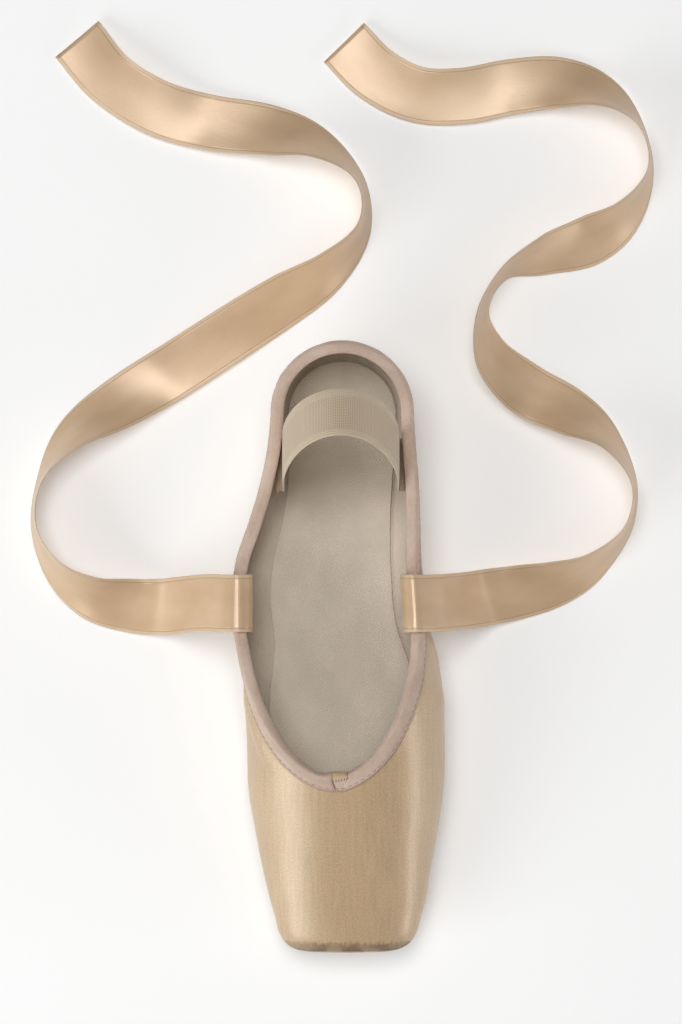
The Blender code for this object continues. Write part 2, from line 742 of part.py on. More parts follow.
def casing_at(place, shift=0.0, rise=0.0):
    """The casing's outline at a place round the loop, counted in its points, and moved along it by shift."""
    k = min(int(place), len(rings) - 2)
    edge, rim, up, normal, way = (a.lerp(b, place - k) for a, b in zip(rings[k], rings[k + 1]))
    move = way.normalized() * shift
    frame = (edge + move, rim + move, up.normalized(), normal.normalized())
    return casing_ring(*frame, outer_surface, inner_surface, rise)


last = len(loop) - 1
around = [casing_at(1, SLIT / 2)] + [casing_at(k) for k in range(2, last)]
swept("binding", around + [casing_at(last, -SLIT / 2)], casing)
folded = [casing_at(0, SLIT / 2), casing_at(0.5, 0, TAB_RISE), casing_at(1, -SLIT / 2)]
swept("drawstring_tab", folded, satin)

elastic(mesh_band)
ribbon("ribbon_right", 1, MEDIAL_ROUTE, ribbon_satin)
ribbon("ribbon_left", -1, LATERAL_ROUTE, ribbon_satin)
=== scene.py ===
"""The looks of an empty satin pointe shoe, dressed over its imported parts, in metres."""

import math

import bmesh
import bpy
import numpy as np
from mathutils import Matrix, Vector, noise
from mathutils.bvhtree import BVHTree


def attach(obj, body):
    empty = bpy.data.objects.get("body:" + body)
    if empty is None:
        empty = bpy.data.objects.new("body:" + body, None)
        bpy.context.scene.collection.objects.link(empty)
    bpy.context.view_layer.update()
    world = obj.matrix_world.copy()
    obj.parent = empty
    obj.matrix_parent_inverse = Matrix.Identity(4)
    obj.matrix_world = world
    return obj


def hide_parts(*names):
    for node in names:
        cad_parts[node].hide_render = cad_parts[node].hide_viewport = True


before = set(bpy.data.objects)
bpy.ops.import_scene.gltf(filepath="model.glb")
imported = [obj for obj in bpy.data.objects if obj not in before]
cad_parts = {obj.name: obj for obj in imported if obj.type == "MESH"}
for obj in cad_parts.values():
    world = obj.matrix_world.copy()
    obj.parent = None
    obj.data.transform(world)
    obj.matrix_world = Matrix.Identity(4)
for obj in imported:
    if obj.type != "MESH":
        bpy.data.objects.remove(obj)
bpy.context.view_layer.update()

# The studio: a white paper floor, a soft box at each side of the shoe, a low strip at its left and one
# box over it, and a camera that looks straight down on the vamp, at the photograph's angle to it.
VIEW_LONG = 0.396
VIEW_MIDDLE = (0.0009, 0.0524)
VIEW_HEIGHT = 1.45
LEVEL_SEEN = 0.020
SENSOR = 36.0
FLOOR_HALF = 40.0
FLOOR_GLOW = 0.22
SKY_DARK_UNDER = 0.10
SKY_BRIGHT_OVER = 0.75
SKY_LEAST = 0.36
SKY_MOST = 1.00
PAPER = (0.86, 0.86, 0.86)
LAMPS = (
    # name, place, target, width, length, power, colour
    ("key", (-1.02, -0.75, 0.62), (0, -0.05, 0.03), 1.20, 0.66, 9.8, (0.98, 1.0, 0.99)),
    ("rim", (1.22, -0.56, 0.27), (0, -0.05, 0.03), 1.10, 0.18, 4.8, (1.0, 0.99, 0.98)),
    ("top", (-0.15, 0.40, 1.90), (0, 0, 0), 0.9, 0.9, 22, (1, 1, 1)),
    ("low", (-1.30, -0.36, 0.13), (-0.03, -0.03, 0.04), 0.90, 0.09, 1.1, (1.0, 0.99, 0.96)),
)


def soft_box(name, place, target, width, length, power, colour):
    lamp = bpy.data.lights.new(name, "AREA")
    lamp.shape = "RECTANGLE"
    lamp.size = width
    lamp.size_y = length
    lamp.energy = power
    lamp.color = colour
    holder = bpy.data.objects.new(name, lamp)
    holder.location = place
    holder.rotation_euler = (Vector(target) - Vector(place)).to_track_quat("-Z", "Y").to_euler()
    bpy.context.scene.collection.objects.link(holder)


camera = bpy.data.objects.new("camera", bpy.data.cameras.new("camera"))
camera.data.sensor_width = SENSOR
camera.data.lens = SENSOR * VIEW_HEIGHT / VIEW_LONG
camera.data.clip_end = 20
camera.location = (*VIEW_MIDDLE, VIEW_HEIGHT + LEVEL_SEEN)
bpy.context.scene.collection.objects.link(camera)
bpy.context.scene.camera = camera

for lamp in LAMPS:
    soft_box(*lamp)

sky = bpy.data.worlds.new("sky")
sky.use_nodes = True
backdrop = sky.node_tree.nodes["Background"]
facing_up = sky.node_tree.nodes.new("ShaderNodeSeparateXYZ")
dimmed = sky.node_tree.nodes.new("ShaderNodeMapRange")
dimmed.interpolation_type = "SMOOTHSTEP"
dimmed.inputs["From Min"].default_value = SKY_DARK_UNDER
dimmed.inputs["From Max"].default_value = SKY_BRIGHT_OVER
dimmed.inputs["To Min"].default_value = SKY_LEAST
dimmed.inputs["To Max"].default_value = SKY_MOST
where = sky.node_tree.nodes.new("ShaderNodeTexCoord")
sky.node_tree.links.new(where.outputs["Generated"], facing_up.inputs[0])
sky.node_tree.links.new(facing_up.outputs["Z"], dimmed.inputs["Value"])
sky.node_tree.links.new(dimmed.outputs[0], backdrop.inputs["Strength"])
bpy.context.scene.world = sky
bpy.context.scene.view_settings.view_transform = "Standard"


def tinted(colour, factor=1.0):
    """A colour made lighter or darker, as a material takes it."""
    return (*[min(1.0, value * factor) for value in colour], 1)


class Finish:
    """A material in the making: its nodes are joined by their sockets' names or numbers."""

    def __init__(self, name, colour, rough, more=None):
        self.made = bpy.data.materials.new(name)
        self.made.use_nodes = True
        self.tree = self.made.node_tree
        self.shader = self.tree.nodes["Principled BSDF"]
        self.put(self.shader, {"Base Color": tinted(colour), "Roughness": rough, **(more or {})})

    def put(self, node, inputs):
        for key, value in inputs.items():
            if isinstance(value, bpy.types.NodeSocket):
                self.tree.links.new(value, node.inputs[key])
            else:
                node.inputs[key].default_value = value

    def node(self, kind, inputs, **settings):
        made = self.tree.nodes.new("ShaderNode" + kind)
        for key, value in settings.items():
            setattr(made, key, value)
        self.put(made, inputs)
        return made

    def sum(self, operation, first, second=0.0, third=0.0):
        inputs = {0: first, 1: second, 2: third}
        return self.node("Math", inputs, operation=operation).outputs[0]

    def times(self, first, second):
        return self.sum("MULTIPLY", first, second)

    def plus(self, first, second):
        return self.sum("ADD", first, second)

    def minus(self, first, second):
        return self.sum("SUBTRACT", first, second)

    def wave(self, value, pitch):
        """Ridges at each pitch of a value in metres, from -1 to 1."""
        return self.sum("SINE", self.times(value, 2 * math.pi / pitch))

    def fade(self, value, start, end, low=0.0, high=1.0):
        """A value brought from low to high as it goes from start to end."""
        inputs = {"Value": value, "From Min": start, "From Max": end, "To Min": low, "To Max": high}
        return self.node("MapRange", inputs, interpolation_type="SMOOTHSTEP").outputs[0]

    def blend(self, share, first, second):
        """Two colours mixed by a share."""
        made = self.node("Mix", {}, data_type="RGBA")
        self.put(made, {0: share, 6: first, 7: second})
        return made.outputs[2]

    def place(self):
        """The object's own coordinates, in metres, as three values."""
        self.spot = self.node("TexCoord", {}).outputs["Object"]
        parted = self.node("SeparateXYZ", {0: self.spot})
        return parted.outputs

    def cloth(self, name="cloth"):
        """The cloth's own directions, in metres: across it and along it."""
        self.laid = self.node("UVMap", {}, uv_map=name).outputs[0]
        parted = self.node("SeparateXYZ", {0: self.laid})
        return parted.outputs[0], parted.outputs[1]

    def scaled(self, vector, factors):
        return self.node("VectorMath", {0: vector, 1: factors}, operation="MULTIPLY").outputs[0]

    def cloud(self, vector, scale, detail=2.0, rough=0.5):
        inputs = {"Vector": vector, "Scale": scale, "Detail": detail, "Roughness": rough}
        return self.node("TexNoise", inputs).outputs[0]

    def raised(self, height, strength, distance, under=None):
        """A bump of that height, over an earlier bump if there is one."""
        inputs = {"Height": height, "Strength": strength, "Distance": distance}
        made = self.node("Bump", inputs)
        if under is not None:
            self.put(made, {"Normal": under})
        return made.outputs[0]


paper = Finish("paper", PAPER, 0.9)
paper.put(paper.shader, {"Emission Color": (1, 1, 1, 1), "Emission Strength": FLOOR_GLOW})
floor_mesh = bpy.data.meshes.new("floor")
corners = [(x * FLOOR_HALF, y * FLOOR_HALF, 0) for x, y in ((-1, -1), (1, -1), (1, 1), (-1, 1))]
floor_mesh.from_pydata(corners, [], [(0, 1, 2, 3)])
floor_mesh.materials.append(paper.made)
floor = bpy.data.objects.new("floor", floor_mesh)
bpy.context.scene.collection.objects.link(floor)

# The last: the shape that every piece is lasted, cut or sewn to. These are the sizes and the sections of
# the solids, so that each piece of cloth lies where its solid is.
LENGTH = 0.235
BALL_HALF = 0.0385
BOX_HEIGHT = 0.050
ARCH_RISE = 0.0045
SOLE_THICK = 0.003
INSOLE_THICK = 0.0015
WALL = 0.002
FIT = 0.0003
THROAT = 0.0685
U_DEPTH = 0.063
THROAT_SIDE = 0.0038
U_HALF = BALL_HALF - THROAT_SIDE
U_POINTING = 1.1
COLLAR_INSET = 0.0007
HEEL_RADIUS = 0.027
SOLE_LAP = 0.006
BOX_MIDDLE = 0.0032
TOE = -LENGTH / 2
HEEL_Y = LENGTH / 2 - HEEL_RADIUS
HEEL_SHARE = 1 - HEEL_RADIUS / LENGTH
U_END = (THROAT + U_DEPTH) / LENGTH

# station: share of LENGTH. lateral, medial and drift: shares of BALL_HALF. level, crown: of BOX_HEIGHT.
# lift: of ARCH_RISE. low and high: squareness.
LAST = (
    # station, lateral, medial, drift, level, crown, lift, low, high
    (0.000, 0.440, 0.440, 0.000, 0.34, 0.480, 1.50, 2.4, 2.3),
    (0.0026, 0.510, 0.512, 0.000, 0.34, 0.512, 1.12, 2.5, 2.3),
    (0.0085, 0.587, 0.592, 0.000, 0.335, 0.548, 0.82, 2.7, 2.35),
    (0.0183, 0.645, 0.662, 0.000, 0.33, 0.578, 0.56, 2.9, 2.4),
    (0.034, 0.694, 0.712, 0.000, 0.33, 0.610, 0.36, 3.2, 2.4),
    (0.055, 0.724, 0.745, 0.000, 0.32, 0.642, 0.22, 3.5, 2.45),
    (0.085, 0.777, 0.795, 0.000, 0.31, 0.685, 0.08, 3.9, 2.45),
    (0.125, 0.834, 0.834, 0.000, 0.30, 0.745, 0.00, 4.3, 2.45),
    (0.166, 0.886, 0.878, 0.000, 0.30, 0.810, 0.00, 4.5, 2.4),
    (0.2085, 0.935, 0.925, 0.000, 0.30, 0.880, 0.00, 4.5, 2.35),
    (0.250, 0.980, 0.960, 0.000, 0.30, 0.945, 0.00, 4.5, 2.3),
    (0.290, 1.000, 0.985, 0.000, 0.30, 1.000, 0.00, 4.5, 2.25),
    (0.350, 1.000, 0.995, -0.010, 0.31, 1.085, 0.00, 4.4, 2.2),
    (0.413, 1.000, 1.000, -0.026, 0.33, 1.200, 0.12, 4.1, 2.2),
    (0.480, 0.990, 0.971, -0.057, 0.35, 1.350, 0.48, 3.5, 2.1),
    (0.545, 1.020, 0.927, -0.104, 0.37, 1.480, 0.86, 3.0, 2.1),
    (0.580, 1.025, 0.910, -0.122, 0.38, 1.530, 1.00, 2.85, 2.1),
    (0.640, 0.985, 0.870, -0.117, 0.39, 1.520, 0.97, 2.7, 2.1),
    (0.700, 0.890, 0.830, -0.094, 0.40, 1.500, 0.66, 2.7, 2.1),
    (0.766, 0.795, 0.780, -0.068, 0.40, 1.540, 0.24, 2.8, 2.1),
    (0.830, 0.735, 0.735, -0.052, 0.40, 1.670, 0.02, 3.0, 2.1),
    (0.885, 0.714, 0.714, -0.047, 0.40, 1.830, 0.00, 3.3, 2.1),
    (1.000, 0.701, 0.701, -0.047, 0.44, 2.000, 0.00, 3.4, 2.1),
)
STATION, LATERAL, MEDIAL, DRIFT, LEVEL, CROWN, LIFT, LOW, HIGH = range(9)
THROAT_SHIFT = (
    # station, shift
    (0.000, 0.000),
    (0.085, 0.000),
    (0.190, -0.085),
    (0.290, -0.143),
    (0.400, -0.138),
    (0.480, -0.112),
    (0.560, -0.088),
    (1.000, -0.088),
)
COLLAR_BLEND = (0.300, 0.480)
COLLAR_HEIGHT = (
    # station, height
    (0.350, 0.990),
    (0.413, 0.955),
    (0.480, 0.890),
    (0.545, 0.825),
    (0.580, 0.800),
    (0.640, 0.775),
    (0.700, 0.775),
    (0.766, 0.810),
    (0.830, 0.890),
    (0.885, 0.970),
    (1.000, 1.050),
)
COLLAR_EVEN = 0.766
COLLAR = (
    # station, lateral, medial
    (0.559, 0.962, 0.884),
    (0.640, 0.952, 0.900),
    (0.700, 0.945, 0.920),
    (0.766, 0.942, 0.935),
    (0.830, 0.930, 0.930),
    (0.885, 0.920, 0.920),
    (1.000, 0.930, 0.930),
)
SOLE_HALF = (
    # station, outsole
    (0.055, 0.300),
    (0.066, 0.440),
    (0.085, 0.570),
    (0.125, 0.660),
    (0.200, 0.725),
    (0.290, 0.750),
    (0.370, 0.705),
    (0.460, 0.570),
    (0.545, 0.410),
    (0.620, 0.320),
    (0.700, 0.305),
    (0.766, 0.345),
    (0.830, 0.400),
    (0.885, 0.440),
    (1.000, 0.440),
)
SOLE_START = 0.055
CLOSED_UNDER = 0.085
LIP_OPENS_OVER = 0.08
LEAST_LIP = 0.004
UNDER_POINTS = 46
OVER_POINTS = 38
TURN_STEPS = 90


def smooth(rows, column, share):
    """A column of a table at any station, with no overshoot between its rows."""
    x = [row[0] for row in rows]
    y = [row[column] for row in rows]
    share = min(max(share, x[0]), x[-1])
    k = min(max(i for i, value in enumerate(x) if value <= share), len(x) - 2)

    def rise(i):
        return (y[i + 1] - y[i]) / (x[i + 1] - x[i])

    def slope(i):
        if i in (0, len(x) - 1):
            return rise(min(i, len(x) - 2))
        before, after = rise(i - 1), rise(i)
        return 0.0 if before * after <= 0 else 2 * before * after / (before + after)

    width = x[k + 1] - x[k]
    t = (share - x[k]) / width
    start, end = slope(k) * width, slope(k + 1) * width
    return (
        y[k] * (2 * t**3 - 3 * t**2 + 1)
        + start * (t**3 - 2 * t**2 + t)
        + y[k + 1] * (3 * t**2 - 2 * t**3)
        + end * (t**3 - t**2)
    )


class Section:
    """One section of the last: its sizes in metres, and where a point of it lies in the world."""

    def __init__(self, share):
        self.share = share
        self.halves = {
            -1: BALL_HALF * smooth(LAST, LATERAL, share),
            1: BALL_HALF * smooth(LAST, MEDIAL, share),
        }
        self.drift = BALL_HALF * smooth(LAST, DRIFT, share)
        self.level = BOX_HEIGHT * smooth(LAST, LEVEL, share)
        self.lift = ARCH_RISE * smooth(LAST, LIFT, share)
        self.under = self.lift + SOLE_THICK + FIT
        self.low = smooth(LAST, LOW, share)
        self.high = smooth(LAST, HIGH, share)
        self.fan = max(0.0, (share - HEEL_SHARE) / (1 - HEEL_SHARE)) * math.pi / 2
        if share > HEEL_SHARE:
            across = BALL_HALF * smooth(LAST, MEDIAL, HEEL_SHARE)
            half = 1 / math.hypot(math.cos(self.fan) / across, math.sin(self.fan) / HEEL_RADIUS)
            self.halves = {-1: half, 1: half}
        closed = BOX_HEIGHT * smooth(LAST, CROWN, share)
        self.crowns = {side: closed for side in (-1, 1)}
        if share > THROAT / LENGTH + 1e-9:
            height = BOX_HEIGHT * smooth(COLLAR_HEIGHT, 1, share)
            t = min(1.0, max(0.0, (share - COLLAR_BLEND[0]) / (COLLAR_BLEND[1] - COLLAR_BLEND[0])))
            for side in (-1, 1):
                edge = self.edge(side)
                part = abs(edge) / self.halves[side if edge >= 0 else -side]
                share_up = (1 - part**self.high) ** (1 / self.high)
                wanted = self.level + (height - self.level) / share_up
                self.crowns[side] = closed + (wanted - closed) * t * t * (3 - 2 * t)

    def world(self, side, out, height):
        """out: from the section's middle, or in the heel from the heel's middle."""
        x = BOX_MIDDLE + self.drift + side * out * math.cos(self.fan)
        if self.fan:
            return Vector((x, HEEL_Y + out * math.sin(self.fan), height))
        return Vector((x, TOE + self.share * LENGTH, height))

    def wall_at(self, side, height):
        """How far out the upper's outside is at a height above its widest line."""
        part = (height - self.level) / (self.crowns[side] - self.level)
        part = min(1.0, max(0.0, part))
        return self.halves[side] * (1 - part**self.high) ** (1 / self.high)

    def under_at(self, side, out):
        """Height of the upper's outside below its widest line."""
        part = min(1.0, abs(out) / self.halves[side])
        return self.level - (self.level - self.under) * (1 - part**self.low) ** (1 / self.low)

    def edge(self, side):
        """How far out the upper ends at the top: at its middle seam, or at the collar's edge."""
        shift = side * BALL_HALF * smooth(THROAT_SHIFT, 1, self.share)
        if self.share <= THROAT / LENGTH + 1e-9:
            return shift
        widest = self.halves[side] - COLLAR_INSET
        if self.share <= U_END + 1e-9:
            turn = math.acos(max(-1.0, 1 - (self.share * LENGTH - THROAT) / U_DEPTH))
            return min(widest, shift + U_HALF * math.sin(turn) ** U_POINTING)
        start = U_HALF + side * BALL_HALF * smooth(THROAT_SHIFT, 1, U_END)
        column = 2 if side > 0 else 1
        first = BALL_HALF * smooth(LAST, MEDIAL if side > 0 else LATERAL, U_END)
        blend = max(0.0, 1 - (self.share - U_END) / (COLLAR_EVEN - U_END))
        drawn = self.halves[side] * smooth(COLLAR, column, self.share)
        return min(widest, drawn + blend * (start - first * COLLAR[0][column]))

    def lip(self, side):
        """How far in the upper is turned under the foot; 0 where it is closed underneath."""
        if self.share < CLOSED_UNDER + 1e-6:
            return 0.0
        opening = min(1.0, (self.share - CLOSED_UNDER) / LIP_OPENS_OVER)
        sole = BALL_HALF * smooth(SOLE_HALF, 1, self.share)
        return max(LEAST_LIP, sole - SOLE_LAP) * math.sqrt(opening)

    def at(self, side, turn):
        """A point of the outside, as out and height: below the widest line where turn is negative."""
        square, top = (self.low, self.under) if turn < 0 else (self.high, self.crowns[side])
        part = math.copysign(abs(math.cos(turn)) ** (2 / square), math.cos(turn))
        rise = math.sin(abs(turn)) ** (2 / square)
        half = self.halves[side if part >= 0 else -side]
        return part * half, self.level + (top - self.level) * rise

    def turns(self, side):
        """Angles of points evenly spaced from the lip, round the widest line, up to the top edge."""
        low_turn = math.acos(min(1.0, self.lip(side) / self.halves[side]) ** (self.low / 2))
        edge = self.edge(side)
        reach = self.halves[side if edge >= 0 else -side]
        high_turn = math.acos(math.copysign((abs(edge) / reach) ** (self.high / 2), edge))
        found = []
        for start, end, count in ((-low_turn, 0.0, UNDER_POINTS), (0.0, high_turn, OVER_POINTS)):
            fine = [start + (end - start) * k / TURN_STEPS for k in range(TURN_STEPS + 1)]
            spots = np.array([self.at(side, turn) for turn in fine])
            walked = np.append(0, np.cumsum(np.linalg.norm(np.diff(spots, axis=0), axis=1)))
            even = np.linspace(0, walked[-1], count + 1)
            found += list(np.interp(even, walked, fine))[1 if found else 0 :]
        return found

    def facing(self, side, turn, fore, aft):
        """The outside's normal at a point, from the sections just before and behind it."""
        fore_end, aft_end = (s.world(side, *s.at(side, turn)) for s in (fore, aft))
        if self.share == 1.0:
            mirrored = self.world(-side, *fore.at(side, turn))
            aft_end = fore_end.copy()
            aft_end.x = 2 * mirrored.x - aft_end.x
        near, far = turn - 0.01, turn + 0.01
        if turn < 0:
            far, near = max(turn + 0.01, turn * 0.5), max(turn - 0.01, -math.pi / 2)
        elif turn < 0.01:
            near = turn
        up = self.world(side, *self.at(side, far)) - self.world(side, *self.at(side, near))
        return (aft_end - fore_end).cross(up).normalized() * side


def surface_spot(side, share, down):
    """A point of the upper's outside, that far down from its top edge."""
    section = Section(share)
    row = [section.world(side, *section.at(side, turn)) for turn in section.turns(side)][::-1]
    walked = 0.0
    for first, second in zip(row, row[1:]):
        step = (second - first).length
        if walked + step >= down:
            return first.lerp(second, (down - walked) / step)
        walked += step
    return row[-1]


# The upper: peach satin over canvas and paste, lasted wet and dried hard at the toe. The satin is drawn
# into pleats under the box, sewn at the sides and the back of the heel, and creased where the foot bends.
PLATFORM_SHARES = (0.0, 0.0005, 0.0011, 0.0018, 0.0026, 0.0036, 0.0049, 0.0065, 0.0085, 0.0115, 0.0148)
BOX_STEP = 0.0021
U_STEP = 2.5
SIDE_STEP = 0.002
HEEL_STEPS = 30
CAP_RINGS = 14
CAP_DOME = 0.0004
WELD = 0.00002
WAVINESS = 0.00010
WAVE_LENGTH = 0.017
# side: +1 towards the big toe. places: station and the way down from the top edge. A depth below 0 is a
# trough, above 0 a ridge.
CREASES = (
    # side, places, depth, width
    (1, ((0.432, 0.034), (0.452, 0.026), (0.478, 0.016)), -0.0007, 0.0020),
    (1, ((0.470, 0.030), (0.492, 0.020), (0.506, 0.011)), 0.0006, 0.0030),
    (1, ((0.405, 0.036), (0.418, 0.026), (0.425, 0.016)), 0.0005, 0.0038),
    (1, ((0.520, 0.028), (0.540, 0.018), (0.548, 0.008)), -0.0005, 0.0026),
    (-1, ((0.458, 0.024), (0.446, 0.014), (0.424, 0.0095)), -0.0006, 0.0018),
    (
        -1,
        ((0.440, 0.022), (0.412, 0.0135), (0.376, 0.0115), (0.338, 0.0115), (0.305, 0.014)),
        0.0010,
        0.0030,
    ),
    (-1, ((0.420, 0.032), (0.412, 0.024), (0.398, 0.017)), 0.0005, 0.0034),
    (-1, ((0.492, 0.026), (0.502, 0.017), (0.508, 0.009)), -0.0005, 0.0024),
)
SIDE_SEAM_FOOT = 0.0040
SIDE_SEAM_SLOPE = 0.27
BACK_SEAM_X = 0.0014
PUCKER_SPOT = (0.571, 0.0075)
PUCKER_DEPTH = -0.0011
PUCKER_WIDTH = 0.0032
PLEAT_PITCH = 0.0034
PLEAT_DEPTH = 0.00085
PLEAT_REACH = 0.017
PLEATS_END = 0.30
PLEATS_PAST = 0.06
PLEAT_WANDER = 0.35
PLEAT_LEAN = 0.8
PLEATS_TOP = 0.016
PLEATS_FADE = 0.006
PLEATS_SIDE_FADE = 0.08
SATIN = (0.600, 0.425, 0.258)
SATIN_SHADE = (0.505, 0.345, 0.203)
SATIN_WORN = (0.235, 0.140, 0.075)
SATIN_GRIME = (0.095, 0.055, 0.028)
LINING = (0.80, 0.69, 0.57)


def welded(point):
    """The spot that a point shares with the points that lie on it."""
    return tuple(round(value / WELD) for value in point)


def piece_of(name, points, faces, layouts, paints, kinds=None):
    """A closed piece at the origin, its doubled points made one. layouts: each point's cloth directions."""
    places, index, kept = {}, [], []
    for point in points:
        key = welded(point)
        if key not in places:
            places[key] = len(kept)
            kept.append(tuple(point))
        index.append(places[key])
    rings, sources, sorts = [], [], []
    for number, face in enumerate(faces):
        ring, source = [], []
        for k in face:
            if index[k] not in ring:
                ring.append(index[k])
                source.append(k)
        if len(ring) > 2:
            rings.append(ring)
            sources.append(source)
            sorts.append(kinds[number] if kinds else 0)
    mesh = bpy.data.meshes.new(name)
    mesh.from_pydata(kept, [], rings)
    for paint in paints:
        mesh.materials.append(paint)
    mesh.polygons.foreach_set("use_smooth", [True] * len(mesh.polygons))
    mesh.polygons.foreach_set("material_index", sorts)
    laid = mesh.uv_layers.new(name="cloth")
    for polygon, source in zip(mesh.polygons, sources):
        for loop, k in zip(polygon.loop_indices, source):
            laid.data[loop].uv = layouts[k]
    turner = bmesh.new()
    turner.from_mesh(mesh)
    bmesh.ops.recalc_face_normals(turner, faces=turner.faces)
    turner.to_mesh(mesh)
    turner.free()
    made = bpy.data.objects.new(name, mesh)
    bpy.context.scene.collection.objects.link(made)
    return made


def wall_of(name, points, faces, partners, layouts, paints):
    """A wall of cloth or leather between a sheet and the partner of each of its points."""
    count = len(points)
    merged = {}
    index = [merged.setdefault(welded(point), k) for k, point in enumerate(points)]
    seen = {}
    for face in faces:
        for a, b in zip(face, face[1:] + face[:1]):
            if index[a] != index[b]:
                seen.setdefault(frozenset((index[a], index[b])), []).append((a, b))
    rim = [edges[0] for edges in seen.values() if len(edges) == 1]
    walls = [(b, a, a + count, b + count) for a, b in rim]
    backs = [tuple(k + count for k in reversed(face)) for face in faces]
    kinds = [0] * len(faces) + [min(1, len(paints) - 1)] * (len(backs) + len(walls))
    whole = [tuple(face) for face in faces] + backs + walls
    return piece_of(name, list(points) + list(partners), whole, layouts * 2, paints, kinds)


def meeting(points, vectors):
    """Each point's direction, averaged over the points that lie on the same spot."""
    sums = {}
    keys = [welded(point) for point in points]
    for key, vector in zip(keys, vectors):
        sums[key] = sums.get(key, Vector((0, 0, 0))) + vector
    return [sums[key].normalized() for key in keys]


def upper_shares():
    box_count = round((THROAT - PLATFORM_SHARES[-1] * LENGTH) / BOX_STEP)
    box_start = PLATFORM_SHARES[-1]
    box = [box_start + (THROAT / LENGTH - box_start) * k / box_count for k in range(1, box_count)]
    u_count = round(90 / U_STEP)
    u_turns = [math.pi / 2 * k / u_count for k in range(u_count + 1)]
    throat = [(THROAT + U_DEPTH * (1 - math.cos(turn))) / LENGTH for turn in u_turns]
    side_count = round((HEEL_SHARE - U_END) * LENGTH / SIDE_STEP)
    sides = [U_END + (HEEL_SHARE - U_END) * k / side_count for k in range(1, side_count + 1)]
    heel = [HEEL_SHARE + (1 - HEEL_SHARE) * k / HEEL_STEPS for k in range(1, HEEL_STEPS + 1)]
    return list(PLATFORM_SHARES) + box + throat + sides + heel


def near_line(points, line):
    """Each point's distance from a line of points, and how far along the line it is, from 0 to 1."""
    best = np.full(len(points), np.inf)
    along = np.zeros(len(points))
    line = np.array([tuple(place) for place in line])
    for k in range(len(line) - 1):
        way = line[k + 1] - line[k]
        t = np.clip((points - line[k]) @ way / (way @ way), 0, 1)
        far = np.linalg.norm(points - line[k] - t[:, None] * way, axis=1)
        closer = far < best
        best[closer] = far[closer]
        along[closer] = (k + t[closer]) / (len(line) - 1)
    return best, along


def drawn_line(side, places):
    """A line over the upper's outside through places, each a station and the way down."""
    spots = []
    for (share, down), (next_share, next_down) in zip(places, places[1:]):
        for k in range(4):
            t = k / 4
            spots.append(surface_spot(side, share + (next_share - share) * t, down + (next_down - down) * t))
    return spots + [surface_spot(side, *places[-1])]


def upper_sheet():
    """Points, normals, faces and cloth directions of one whole outside, and the collar's two edges."""
    points, normals, layouts, faces = [], [], [], []
    edges = {}
    shares = upper_shares()
    for side in (1, -1):
        first = len(points)
        rows = []
        for share in shares:
            section = Section(share)
            fore, aft = Section(max(0.0, share - 0.0005)), Section(min(1.0, share + 0.0005))
            turns = section.turns(side)
            row = [section.world(side, *section.at(side, turn)) for turn in turns]
            facing = [section.facing(side, turn, fore, aft) for turn in turns]
            rows.append((share, section, row, facing))
        toe = rows[0]
        middle = toe[1].world(side, 0.0, toe[1].level)
        for k in range(CAP_RINGS):
            share_out = (k / CAP_RINGS) ** 0.9
            dome = CAP_DOME * math.cos(share_out * math.pi / 2)
            for place in toe[2]:
                spot = middle.lerp(place, share_out)
                points.append(spot - Vector((0, dome, 0)))
                normals.append(Vector((0, -1, 0)))
                layouts.append((spot.x, spot.z - toe[1].crowns[side] - LENGTH))
        for share, section, row, facing in rows:
            along = share * LENGTH
            if section.fan:
                along = HEEL_SHARE * LENGTH + section.fan * HEEL_RADIUS
            across = section.edge(side)
            lengths = [0.0]
            for before, after in zip(row[::-1], row[-2::-1]):
                lengths.append(lengths[-1] + (after - before).length)
            lengths.reverse()
            points += row
            normals += facing
            layouts += [(side * (across + length), along) for length in lengths]
        width = len(toe[2])
        edges[side] = [
            first + (CAP_RINGS + k) * width + width - 1
            for k, share in enumerate(shares)
            if share > THROAT / LENGTH - 1e-6
        ]
        for i in range(CAP_RINGS + len(rows) - 1):
            for j in range(width - 1):
                a = first + i * width + j
                face = (a, a + width, a + width + 1, a + 1)
                faces.append(face if side > 0 else face[::-1])
    return points, normals, layouts, faces, edges


def sole_line():
    """The outsole's outline round the toe, from the lateral side to the medial one."""
    spots = []
    shares = [SOLE_START + (PLEATS_END + PLEATS_PAST - SOLE_START) * k / 60 for k in range(61)]
    for side, order in ((-1, shares[::-1]), (1, shares)):
        for share in order:
            section = Section(share)
            half = BALL_HALF * smooth(SOLE_HALF, 1, share)
            spots.append(section.world(side, half, section.under))
    return spots


def pleated(points):
    """How far each point is pushed in by the pleats that gather the satin under the toe."""
    outline = np.array([tuple(spot) for spot in sole_line()])
    walked = np.append(0, np.cumsum(np.linalg.norm(np.diff(outline, axis=0), axis=1)))
    far, along = near_line(points, outline)
    at = np.interp(along * (len(outline) - 1), np.arange(len(outline)), walked)
    wander = np.array([noise.noise(Vector((value / 0.006, 2.0, 7.0))) for value in at])
    phase = at / PLEAT_PITCH + PLEAT_WANDER * wander
    tooth = phase - np.floor(phase)
    fold = np.where(tooth < PLEAT_LEAN, tooth / PLEAT_LEAN, (1 - tooth) / (1 - PLEAT_LEAN)) - 1.0
    station = (points[:, 1] - TOE) / LENGTH
    middle_out = np.clip(1 - far / PLEAT_REACH, 0, 1) ** 0.8
    below = np.clip((PLEATS_TOP - points[:, 2]) / PLEATS_FADE, 0, 1)
    side_fade = np.clip((PLEATS_END - station) / PLEATS_SIDE_FADE, 0, 1)
    return PLEAT_DEPTH * fold * middle_out * below * side_fade


